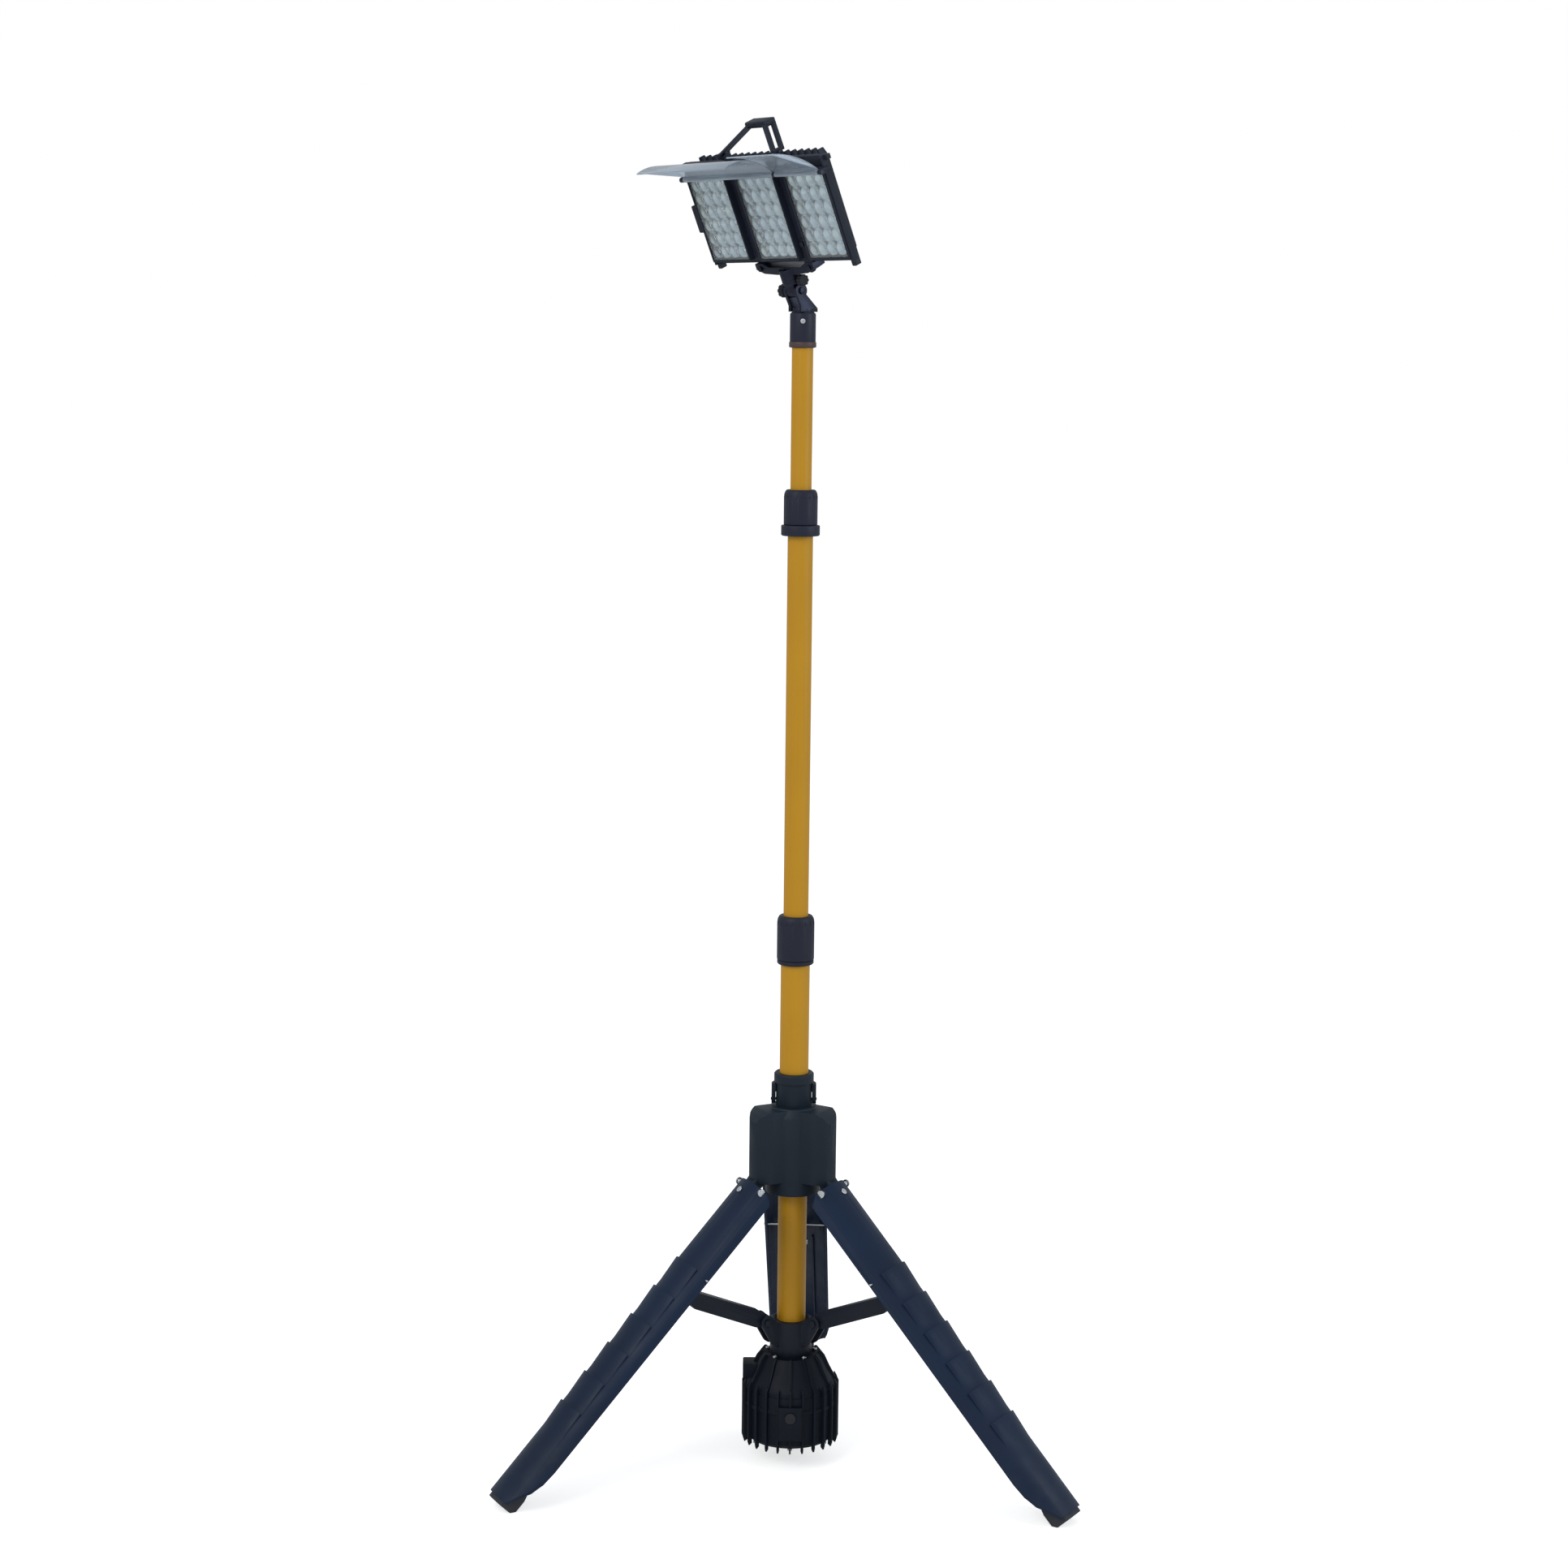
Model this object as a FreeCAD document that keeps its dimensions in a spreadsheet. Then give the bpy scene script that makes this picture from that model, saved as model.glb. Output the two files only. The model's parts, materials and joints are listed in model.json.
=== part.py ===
"""Tripod work light: a battery pod and telescopic mast on three folding legs carry a tilting
three-module lamp head.

World frame: millimetres, +Z up, floor at z = 0, mast axis on the Z axis, front at -Y.
Each leg has its own frame (X out through the crown, Y across the leg, Z up along the leg) and
the lamp head has its own frame (X across, Y towards the back, Z up, origin at the centre of
the lens faces).  A dimension is a number, a sheet alias, or a pair (alias, offset).
"""
import FreeCAD, Part
import math
import os

import Sketcher
from FreeCAD import Placement, Rotation, Vector

os.makedirs("parts", exist_ok=True)
doc = FreeCAD.newDocument("WorkLight")

# ---------------------------------------------------------------- driving dimensions
DIMENSIONS = (
    # telescopic mast
    ("tube_wall", 1.5), ("low_tube_r", 21.0), ("mid_tube_r", 18.0), ("top_tube_r", 15.0),
    ("low_tube_bottom", 152.0), ("low_tube_top", 788.0),
    ("mid_tube_bottom", 640.0), ("mid_tube_top", 1396.0),
    ("top_tube_bottom", 1063.0), ("top_tube_top", 1652.0),
    ("low_collar_z", 745.0), ("low_collar_r", 27.0), ("low_collar_height", 71.0),
    ("high_collar_z", 1363.0), ("high_collar_r", 24.0), ("high_collar_height", 65.0),
    ("socket_z", 1626.0), ("socket_r", 18.2), ("socket_height", 50.0),
    ("slide_gap", 0.3), ("pin_gap", 0.05),
    # sliding hub
    ("hub_bottom", 407.0), ("hub_core_r", 40.0), ("hub_height", 128.0), ("hub_top_r", 33.0),
    ("lobe_bottom", 427.0), ("lobe_height", 106.0), ("lobe_reach", 69.0), ("lobe_half_width", 25.5),
    ("sleeve_r", 26.0), ("sleeve_top", 584.0), ("ear_half_width", 12.0), ("ear_r", 6.6),
    # legs
    ("leg_splay", 44.3), ("leg_origin_r", 45.8), ("leg_origin_z", 420.0), ("leg_yaw", -32.23),
    ("leg_shell_r", 54.5), ("leg_wall", 3.0), ("leg_chord_half", 47.6), ("leg_crown", 27.9),
    ("leg_start", 12.0), ("leg_end", 580.0), ("leg_taper_start", 492.0), ("leg_tip_half", 28.0),
    ("leg_pin_r", 4.0), ("foot_end", 587.0),
    # struts and their bracket
    ("bracket_r", 31.0), ("bracket_bottom", 160.0), ("bracket_top", 212.0),
    ("strut_pivot_r", 46.0), ("strut_pivot_z", 215.0), ("strut_half_depth", 12.0),
    ("strut_half_width", 10.5), ("strut_joint_along", 200.0), ("strut_joint_out", -6.0),
    # battery pod
    ("pod_core_r", 66.0), ("pod_r", 71.5), ("pod_bottom", 33.0), ("pod_seam", 110.0),
    ("pod_wall", 3.0), ("pod_top", 160.0), ("pod_fins", 24.0), ("cell_r", 10.6), ("cell_height", 70.0),
    # lamp head
    ("head_yaw", -50.0), ("head_tilt", 24.0), ("head_x", -53.4), ("head_y", -44.81), ("head_z", 1804.0),
    ("head_half_width", 149.5), ("head_bottom", -70.0), ("head_top", 80.0),
    ("module_pitch", 105.5), ("module_half_width", 42.0), ("module_half_height", 65.0),
    ("lens_half_width", 39.5), ("lens_half_height", 62.0),
    ("fin_pitch", 14.2), ("fin_thickness", 2.6), ("fin_back", 34.0),
    ("tilt_axis_y", 9.9), ("tilt_axis_z", -112.8),
    ("visor_length", 88.0), ("visor_thickness", 2.0), ("visor_hinge_y", -4.5), ("visor_hinge_z", 61.0),
    ("handle_pin_y", 9.0), ("handle_pin_z", 87.0), ("handle_foot_x", 58.5),
)
sheet = doc.addObject("Spreadsheet::Sheet", "Dims")
for row, (alias, number) in enumerate(DIMENSIONS, start=1):
    sheet.set(f"A{row}", alias)
    sheet.set(f"B{row}", str(number))
    sheet.setAlias(f"B{row}", alias)
doc.recompute()

NODES = []          # finished sub-parts, in the order they are made


# ---------------------------------------------------------------- dimension helpers
def size(spec):
    """The number that a dimension stands for."""
    if isinstance(spec, str):
        return float(sheet.get(spec))
    if isinstance(spec, tuple):
        return float(sheet.get(spec[0])) + spec[1]
    return float(spec)


def formula(spec):
    """The sheet expression of a dimension, or None for a plain number."""
    if isinstance(spec, str):
        return f"Dims.{spec}"
    if isinstance(spec, tuple):
        return f"Dims.{spec[0]} + {spec[1]}"
    return None


def bind(obj, prop, spec):
    """Set a length property and tie it to the sheet."""
    setattr(obj, prop, size(spec))
    if formula(spec):
        obj.setExpression(prop, formula(spec))


def finish(obj, label, placement=None):
    """Name a finished sub-part and put it in its place."""
    if placement is not None:
        obj.Placement = placement
    obj.Label = label
    NODES.append(obj)
    return obj


# ---------------------------------------------------------------- solid helpers
def cylinder(radius, height, x=0, y=0, z=0, axis="Z", name="Cyl"):
    """A cylinder from (x, y, z) along +X, +Y or +Z."""
    obj = doc.addObject("Part::Cylinder", name)
    bind(obj, "Radius", radius)
    bind(obj, "Height", height)
    turns = {"Z": Rotation(), "X": Rotation(Vector(0, 1, 0), 90), "Y": Rotation(Vector(1, 0, 0), -90)}
    obj.Placement = Placement(Vector(size(x), size(y), size(z)), turns[axis])
    for letter, spec in zip("xyz", (x, y, z)):
        if formula(spec):
            obj.setExpression(f"Placement.Base.{letter}", formula(spec))
    return obj


def box(x0, x1, y0, y1, z0, z1, name="Block"):
    """A box between two corners."""
    obj = doc.addObject("Part::Box", name)
    obj.Length = size(x1) - size(x0)
    obj.Width = size(y1) - size(y0)
    obj.Height = size(z1) - size(z0)
    obj.Placement.Base = Vector(size(x0), size(y0), size(z0))
    for letter, prop, low, high in (("x", "Length", x0, x1), ("y", "Width", y0, y1), ("z", "Height", z0, z1)):
        if formula(low):
            obj.setExpression(f"Placement.Base.{letter}", formula(low))
        if formula(low) or formula(high):
            obj.setExpression(prop, f"({formula(high) or size(high)}) - ({formula(low) or size(low)})")
    return obj


def fuse(*parts, name="Fuse"):
    obj = doc.addObject("Part::MultiFuse", name)
    obj.Shapes = list(parts)
    return obj


def cut(base, *tools, name="Cut"):
    for tool in tools:
        obj = doc.addObject("Part::Cut", name)
        obj.Base = base
        obj.Tool = tool
        base = obj
    return base


def ring(outer, inner, z0, z1, name="Ring"):
    """A plain sleeve about the Z axis."""
    height = (z1, 0) if isinstance(z1, str) else z1
    outside = cylinder(outer, 1, z=z0, name=name)
    bore = cylinder(inner, 1, z=z0, name=name)
    for part in (outside, bore):
        part.Height = size(height) - size(z0)
        if formula(z0) or formula(z1):
            part.setExpression("Height", f"({formula(z1) or size(z1)}) - ({formula(z0) or size(z0)})")
    return cut(outside, bore, name=name)


def solid(shape, name="Shape"):
    """A shape worked out in code, as a document object."""
    obj = doc.addObject("Part::Feature", name)
    obj.Shape = shape
    return obj


def placed(obj, placement):
    """Put an object that is still a piece of something else in its place."""
    obj.Placement = placement
    return obj


def plane_of(body, role):
    return next(item for item in body.Origin.OriginFeatures if item.Role == role)


def outline(body, role, points, name="Sketch", offset=0.0):
    """A closed polygon sketch whose corners are tied to the sheet."""
    sketch = body.newObject("Sketcher::SketchObject", name)
    sketch.AttachmentSupport = [(plane_of(body, role), "")]
    sketch.MapMode = "FlatFace"
    sketch.AttachmentOffset = Placement(Vector(0, 0, offset), Rotation())
    corners = [Vector(size(a), size(b), 0) for a, b in points]
    count = len(corners)
    for index in range(count):
        sketch.addGeometry(Part.LineSegment(corners[index], corners[(index + 1) % count]), False)
    for index in range(count):
        sketch.addConstraint(Sketcher.Constraint("Coincident", index, 2, (index + 1) % count, 1))
    for index, pair in enumerate(points):
        for kind, spec in zip(("DistanceX", "DistanceY"), pair):
            number = sketch.addConstraint(Sketcher.Constraint(kind, -1, 1, index, 1, size(spec)))
            if formula(spec):
                sketch.setExpression(f"Constraints[{number}]", formula(spec))
    return sketch


def turned(label, points):
    """A lathe part: a (radius, height) outline turned about the Z axis."""
    body = doc.addObject("PartDesign::Body", label)
    sketch = outline(body, "XZ_Plane", points)
    turn = body.newObject("PartDesign::Revolution", "Turn")
    turn.Profile = sketch
    turn.ReferenceAxis = (sketch, ["V_Axis"])
    turn.Angle = 360
    sketch.Visibility = False
    doc.recompute()
    return body


def pattern(body, feature, occurrences):
    """Repeat a feature about the body's Z axis."""
    polar = body.newObject("PartDesign::PolarPattern", "Around")
    polar.Originals = [feature]
    polar.Axis = (plane_of(body, "Z_Axis"), [""])
    polar.Angle = 360
    polar.Occurrences = occurrences
    body.Tip = polar
    doc.recompute()
    return polar


def grooved(body, points, occurrences, low, height):
    """Cut a polygon groove, drawn on the XY plane at a height, all round a turned body."""
    before = body.Shape.Volume
    sketch = outline(body, "XY_Plane", points, "GrooveSketch", size(low))
    pocket = body.newObject("PartDesign::Pocket", "Groove")
    pocket.Profile = sketch
    pocket.Type = 0
    pocket.Length = size(height)
    pocket.Reversed = True
    doc.recompute()
    pattern(body, pocket, occurrences)
    if not body.Shape.Volume < before - 1.0:
        raise RuntimeError(f"groove in {body.Label} cut nothing")


def link_face(start, start_r, end, end_r):
    """Face of a link bar in the XZ plane: two round ends joined by their outer tangents."""
    span = end - start
    length = span.Length
    along = span * (1.0 / length)
    side = Vector(-along.z, 0, along.x)
    lean = math.asin((start_r - end_r) / length)
    normals = [along * math.sin(lean) + side * (math.cos(lean) * sign) for sign in (1, -1)]
    upper = [start + normals[0] * start_r, end + normals[0] * end_r]
    lower = [start + normals[1] * start_r, end + normals[1] * end_r]
    edges = [
        Part.LineSegment(upper[0], upper[1]).toShape(),
        Part.Arc(upper[1], end + along * end_r, lower[1]).toShape(),
        Part.LineSegment(lower[1], lower[0]).toShape(),
        Part.Arc(lower[0], start - along * start_r, upper[0]).toShape(),
    ]
    return Part.Face(Part.Wire(edges))


def thick(face, low, high):
    """A face in the XZ plane made solid between two Y values."""
    moved = face.copy()
    moved.translate(Vector(0, low, 0))
    return moved.extrude(Vector(0, high - low, 0))


def polygon_xz(points):
    corners = [Vector(x, 0, z) for x, z in points]
    return Part.Face(Part.makePolygon(corners + corners[:1]))


def rod(radius, start, end):
    """A round bar between two points."""
    return Part.makeCylinder(radius, (end - start).Length, start, end - start)


# ---------------------------------------------------------------- frames
YAWS = [size("leg_yaw") + 120.0 * index for index in range(3)]     # front right, rear, front left
SPLAY = math.radians(size("leg_splay"))


def spoke(index):
    """Placement that turns the XZ plane to a leg's own azimuth."""
    return Placement(Vector(), Rotation(Vector(0, 0, 1), YAWS[index]))


LEG_TILT = Placement(Vector(size("leg_origin_r"), 0, size("leg_origin_z")),
                     Rotation(Vector(0, 1, 0), -size("leg_splay")))


def leg_frame(index):
    """Leg frame: X out through the crown, Y across, Z back up the leg (so along = -Z)."""
    return spoke(index).multiply(LEG_TILT)


HEAD_PLACE = Placement(Vector(size("head_x"), size("head_y"), size("head_z")),
                       Rotation(Vector(0, 0, 1), size("head_yaw")).multiply(
                           Rotation(Vector(1, 0, 0), size("head_tilt"))))
NECK_PLACE = Placement(Vector(), Rotation(Vector(0, 0, 1), size("head_yaw")))


# ---------------------------------------------------------------- mast tubes
def make_mast():
    for name in ("low", "mid", "top"):
        tube = ring(f"{name}_tube_r", (f"{name}_tube_r", -size("tube_wall")),
                    f"{name}_tube_bottom", f"{name}_tube_top", name="Tube")
        finish(tube, {"low": "lower_tube", "mid": "middle_tube", "top": "top_tube"}[name])

    # Guide bushes on the foot of each sliding tube, running inside the tube below.
    for name, outer, label in (("mid", "low_tube_r", "middle_guide"), ("top", "mid_tube_r", "top_guide")):
        inside = size(outer) - size("tube_wall") - size("slide_gap")
        foot = f"{name}_tube_bottom"
        sleeve = ring(inside, f"{name}_tube_r", foot, (foot, 22), name="Guide")
        stop = ring(inside, size(f"{name}_tube_r") - 5.0, (foot, -4), foot, name="Stop")
        finish(fuse(sleeve, stop), label)


def make_collar(prefix, tube, inner, words):
    """Twist lock: a threaded base on the outer tube, a collet and a turning ring."""
    base_z = f"{prefix}_collar_z"
    outer_r = size(f"{prefix}_collar_r")
    ring_r = size(inner) + size("slide_gap")
    height = size(f"{prefix}_collar_height")
    flange = 6.5 if prefix == "low" else 15.0
    flange_r = outer_r - 0.5 if prefix == "low" else outer_r + 3.5
    sleeve_r = size(tube) + 2.5
    tube_end = size(f"{tube[:3]}_tube_top") - size(base_z)
    sleeve_top = height - 11.0
    base = turned("CollarBase", [
        (tube, base_z), (flange_r - 1.5, base_z), (flange_r, (base_z, 1.5)), (flange_r, (base_z, flange - 1)),
        (flange_r - 1, (base_z, flange)), (sleeve_r, (base_z, flange)), (sleeve_r, (base_z, sleeve_top)),
        ((tube, 1.0), (base_z, sleeve_top)), ((tube, 1.0), (base_z, tube_end)), (tube, (base_z, tube_end))])
    # Split collet in the mouth of the base, which the ring squeezes on the sliding tube.
    collet = ring((tube, 1.2), (inner, 0.3), (base_z, tube_end), (base_z, sleeve_top), name="Collet")
    reach, low, high = size(tube) + 0.5, (base_z, tube_end + 3), (base_z, sleeve_top + 1)
    slots = [box(-reach, reach, -1.2, 1.2, low, high), box(-1.2, 1.2, -reach, reach, low, high)]
    finish(fuse(base, cut(collet, *slots)), f"{words}_collar_base")

    inside_r = sleeve_r + size("slide_gap")
    nut = turned(f"{words}_twist_ring", [
        (inside_r, (base_z, flange + 0.5)), (outer_r - 0.8, (base_z, flange + 0.5)),
        (outer_r, (base_z, flange + 1.3)), (outer_r, (base_z, height - 10)),
        (outer_r - 0.7, (base_z, height - 5)), (outer_r - 2.6, (base_z, height - 1.2)),
        (outer_r - 4.2, (base_z, height)), (ring_r, (base_z, height)),
        (ring_r, (base_z, height - 9.5)), (inside_r, (base_z, height - 9.5))])
    grooved(nut, [(outer_r - 0.7, -1.1), (outer_r + 3, -1.6), (outer_r + 3, 1.6), (outer_r - 0.7, 1.1)],
            18, (base_z, height - 12), height - flange - 16)
    finish(nut, f"{words}_twist_ring")


def make_lead():
    """Coiled lead inside the mast: two coils that stretch with the slides and a straight run."""
    low_end = size("low_tube_bottom") + 13.0
    coil_r = 8.5
    spans = (("lower_coil_lead", coil_r, low_end, size("mid_tube_bottom") - 4.0),
             ("upper_coil_lead", coil_r, size("mid_tube_bottom") + 10.0, size("top_tube_bottom") - 4.0),
             ("top_lead", 3.5, size("top_tube_bottom") + 6.0, size("socket_z") + 23.0))
    for label, radius, low, high in spans:
        finish(cylinder(radius, high - low, z=low, name="Lead"), label)


def make_socket():
    """Cap on the top tube and the fork that carries the tilt hinge."""
    z0 = "socket_z"
    height = size("socket_height")
    cap = turned("mast_socket", [
        ("top_tube_r", z0), ("socket_r", (z0, 0.5)), ("socket_r", (z0, height - 3)),
        (("socket_r", -3), (z0, height)), (0, (z0, height)), (0, (z0, height - 15)),
        (("top_tube_r", -2), (z0, height - 15)), (("top_tube_r", -2), ("top_tube_top", 0.2)),
        ("top_tube_r", ("top_tube_top", 0.2))])
    finish(cap, "mast_socket")
    finish(ring(("socket_r", 1.0), "socket_r", (z0, 1), (z0, 8), name="Band"), "socket_band")

    # Cross screw that holds the cap on the tube.
    head = cylinder(3.4, 4.0, y=("socket_r", -size("socket_r") * 2 - 1.6), z=(z0, 37), axis="Y", name="Head")
    finish(cut(head, cylinder("socket_r", 20, z=(z0, 27), name="Seat")), "socket_screw")

    hinge = HEAD_PLACE.multVec(Vector(0, size("tilt_axis_y"), size("tilt_axis_z")))
    axis = NECK_PLACE.inverse().multVec(hinge)
    cap_top = size(z0) + height
    cheek_r = 10.0
    foot = [(-15.0, cap_top), (15.0, cap_top), (15.0, cap_top + 5), (axis.y + 8.5, axis.z - 5),
            (axis.y - 9.5, axis.z - 3), (-15.0, cap_top + 8)]
    profile = Part.Face(Part.makePolygon([Vector(0, y, z) for y, z in foot + foot[:1]]))
    cheeks = None
    for low in (-14.0, 9.0):
        plate = profile.copy()
        plate.translate(Vector(low, 0, 0))
        cheek = plate.extrude(Vector(5, 0, 0)).fuse(
            Part.makeCylinder(cheek_r, 5, Vector(low, axis.y, axis.z), Vector(1, 0, 0)))
        cheeks = cheek if cheeks is None else cheeks.fuse(cheek)
    disc = Part.makeCylinder(15.1, 4.5, Vector(0, 0, cap_top))
    bore = Part.makeCylinder(4.0, 60, Vector(-30, axis.y, axis.z), Vector(1, 0, 0))
    finish(solid(cheeks.fuse(disc).cut(bore).removeSplitter()), "neck_fork", NECK_PLACE)


# ---------------------------------------------------------------- sliding hub
def make_hub():
    z0 = "hub_bottom"
    top = size("hub_height")
    core = turned("HubCore", [
        (("low_tube_r", 0.3), z0), ("hub_core_r", z0), ("hub_core_r", (z0, top - 14)),
        (("hub_top_r", 2.5), (z0, top - 4)), ("hub_top_r", (z0, top)), (("low_tube_r", 0.3), (z0, top))])
    lobes = []
    for index in range(3):
        base_z, high = size("lobe_bottom"), size("lobe_height")
        reach, half = size("lobe_reach"), size("lobe_half_width")
        # A lobe is a round-nosed block whose top dips outwards and whose outer wall leans a little.
        face = polygon_xz([(20, base_z), (reach + 1, base_z), (reach - 2, base_z + high - 16),
                           (reach - 7, base_z + high - 6), (reach - 17, base_z + high), (20, base_z + high)])
        nose = Part.makeCylinder(half, high, Vector(reach - half, 0, base_z))
        plan = nose.fuse(Part.makeBox(reach - half - 20, 2 * half, high, Vector(20, -half, base_z)))
        block = thick(face, -half - 1, half + 1).common(plan)
        pivot = LEG_TILT.multVec(Vector(16, 0, -17))
        inward = Vector(pivot.x - 27, 0, pivot.z + 27)
        ear = thick(link_face(pivot, size("ear_r"), inward, 11.0),
                    -size("ear_half_width"), size("ear_half_width"))
        inside = Part.makeCylinder(30, 300, Vector(0, 0, 300))
        bore = Part.makeCylinder(size("leg_pin_r") + size("pin_gap"), 60, pivot + Vector(0, -30, 0),
                                 Vector(0, 1, 0))
        lobe = block.fuse(ear.cut(inside)).cut(bore)
        lobes.append(placed(solid(lobe.removeSplitter(), "Lobe"), spoke(index)))
    body = fuse(core, *lobes, name="Hub")
    bore = cylinder(("low_tube_r", 0.3), 200, z=(z0, -20), name="HubBore")
    finish(cut(body, bore), "hub_body")

    # Lock sleeve above the hub, with the release lever hinged across it.
    sleeve_z = (z0, top)
    sleeve = turned("LockSleeve", [
        (("low_tube_r", 0.3), sleeve_z), ("sleeve_r", sleeve_z), ("sleeve_r", ("sleeve_top", -15)),
        (("sleeve_r", 2.9), ("sleeve_top", -13.5)), (("sleeve_r", 2.9), ("sleeve_top", -2)),
        (("sleeve_r", 1.2), "sleeve_top"),
        (("low_tube_r", 0.3), "sleeve_top")])
    pivot_z = size(z0) + top + 9
    trunnions = [cylinder(2.0, 8.0, x=x, y=-0.5, z=pivot_z, axis="X", name="Trunnion")
                 for x in (("sleeve_r", -0.5), -size("sleeve_r") - 7.5)]
    finish(fuse(sleeve, *trunnions), "hub_lock_sleeve")
    inner_r = size("sleeve_r") + 0.5
    bow_low, bow_height, arm_thick = pivot_z + 9.0, 14.0, 6.0
    arms = Part.makeCylinder(inner_r + arm_thick, bow_height, Vector(0, 0, bow_low))
    arms = arms.cut(Part.makeCylinder(inner_r, bow_height, Vector(0, 0, bow_low)))
    arms = arms.cut(Part.makeBox(100, 50, 40, Vector(-50, -50 - 6, pivot_z)))
    for sign in (1, -1):
        low = inner_r if sign > 0 else -inner_r - arm_thick
        arm = Part.makeBox(arm_thick, 13, bow_low + bow_height - pivot_z + 1, Vector(low, -7, pivot_z - 1))
        foot = Part.makeCylinder(6.5, arm_thick, Vector(low, -0.5, pivot_z), Vector(1, 0, 0))
        arms = arms.fuse(arm).fuse(foot)
    arms = arms.cut(Part.makeCylinder(2.05, 120, Vector(-60, -0.5, pivot_z), Vector(1, 0, 0)))
    room = Part.makeCylinder(inner_r, 60, Vector(0, 0, pivot_z - 15))
    arms = arms.cut(room.fuse(Part.makeBox(2 * inner_r, 20, 60, Vector(-inner_r, -20.5, pivot_z - 15))))
    finish(solid(arms.removeSplitter()), "hub_release_lever")


# ---------------------------------------------------------------- legs
def leg_section(radius, length, start):
    """Solid round bar along the leg, of the shell's own centre line."""
    centre = size("leg_crown") - size("leg_shell_r")
    return Part.makeCylinder(radius, length, Vector(centre, 0, -start - length))


def make_leg_shell():
    outer, wall = size("leg_shell_r"), size("leg_wall")
    start, end = size("leg_start"), size("leg_end")
    half = size("leg_chord_half")
    shell = leg_section(outer, end - start, start).cut(leg_section(outer - wall, end - start, start))
    above = Part.makeBox(200, 200, 700, Vector(0, -100, -650))
    # Plan of the shell seen on its crown: rounded at the hub, tapering to a blunt tip.
    taper, tip = size("leg_taper_start"), size("leg_tip_half")
    corner = 16.0
    plan = [(-half - 2, -start - corner), (-half + corner * 0.6, -start), (half - corner * 0.6, -start),
            (half + 2, -start - corner), (half + 2, -taper), (41, -548), (tip, -end), (-tip, -end),
            (-41, -548), (-half - 2, -taper)]
    plan_face = Part.Face(Part.makePolygon([Vector(0, y, z) for y, z in plan + plan[:1]]))
    shell = shell.common(above).common(plan_face.extrude(Vector(100, 0, 0)))
    # Grip ramps on the crown: each steps out at its upper end and falls back to the shell.
    ramp, pitch, rise = 46.0, 52.0, 3.0
    centre = outer - size("leg_crown")
    wedge_half = math.radians(36)
    reach = 80.0
    wedge = Part.Face(Part.makePolygon([Vector(-centre, 0, 0),
                                        Vector(-centre + reach, -reach * math.tan(wedge_half), 0),
                                        Vector(-centre + reach, reach * math.tan(wedge_half), 0),
                                        Vector(-centre, 0, 0)]))
    for number in range(6):
        low = 160.0 + pitch * number + ramp
        cone = Part.makeCone(outer - 0.4, outer + rise, ramp, Vector(-centre, 0, -low))
        sector = wedge.copy()
        sector.translate(Vector(0, 0, -low))
        bump = cone.common(sector.extrude(Vector(0, 0, ramp))).cut(leg_section(outer - 1.5, 700, 0))
        shell = shell.fuse(bump)
    # Ears inside the shell that carry the strut joint.
    along, out = size("strut_joint_along"), size("strut_joint_out")
    ear_low, ear_high = size("strut_half_width") + 1.7, size("strut_half_width") + 4.7
    for sign in (1, -1):
        joint = Vector(out, 0, -along)
        plate = link_face(joint, 9.0, Vector(17, 0, -along), 14.0)
        low = ear_low if sign > 0 else -ear_high
        ear = thick(plate, low, low + ear_high - ear_low).common(leg_section(outer - 1.0, 700, 0))
        shell = shell.fuse(ear)
        shell = shell.cut(Part.makeCylinder(3.0, 60, Vector(out, -30, -along), Vector(0, 1, 0)))
    shell = shell.fuse(leg_cheeks())
    # Holes and seats for the pivot pin, the crown screw and the tie rod.
    for metal in (leg_pin(), crown_screw(), tie_rod()):
        shell = shell.cut(metal)
    # The seats of the pin heads run out through the end of the shell.
    for low in (-40.0, 33.7):
        shell = shell.cut(Part.makeBox(10.2, 6.3, 17, Vector(11.9, low, -17)))
    return shell


def crown_screw():
    """Screw through the crown into the bridge between the hinge cheeks."""
    shank = Part.makeCylinder(2.5, 12, Vector(16, 0, -30), Vector(1, 0, 0))
    return shank.fuse(Part.makeCylinder(4.6, 2.2, Vector(27.7, 0, -30), Vector(1, 0, 0)))


def tie_rod():
    """Thin rod across the mouth of the shell that keeps its rims from spreading."""
    return rod(1.5, Vector(3.0, -49, -164), Vector(3.0, 49, -164))


def leg_cheeks():
    """Hinge cheeks moulded inside the top of the leg, with a bridge that takes the crown screw."""
    inner = size("leg_shell_r") - size("leg_wall") / 2
    slot = size("ear_half_width") + 0.6
    block = Part.makeBox(24, 68, 22.7, Vector(3, -34, -35)).common(leg_section(inner, 60, 0))
    block = block.cut(Part.makeBox(60, 2 * slot, 16, Vector(-10, -slot, -27)))
    return block.cut(Part.makeBox(16, 2 * slot, 60, Vector(-3, -slot, -60)))


def leg_pin():
    """Pivot pin with a low head on each flank of the shell."""
    body = Part.makeCylinder(size("leg_pin_r"), 68, Vector(16, -34, -17), Vector(0, 1, 0))
    for y in (-36.0, 34.0):
        body = body.fuse(Part.makeCylinder(5.6, 2.4, Vector(17, y - 0.2, -17), Vector(0, 1, 0)))
    return body


def make_leg_foot():
    """Rubber foot block in the blunt tip of the leg, standing proud of the shell end."""
    inner = size("leg_shell_r") - size("leg_wall") - 0.05
    end, half = size("foot_end"), 22.0
    side = polygon_xz([(28, -end), (-6.5, -end), (-6.5, -end + 25), (5, -end + 66), (28, -end + 66)])
    return thick(side, -half, half).common(leg_section(inner, 700, 0))


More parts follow.
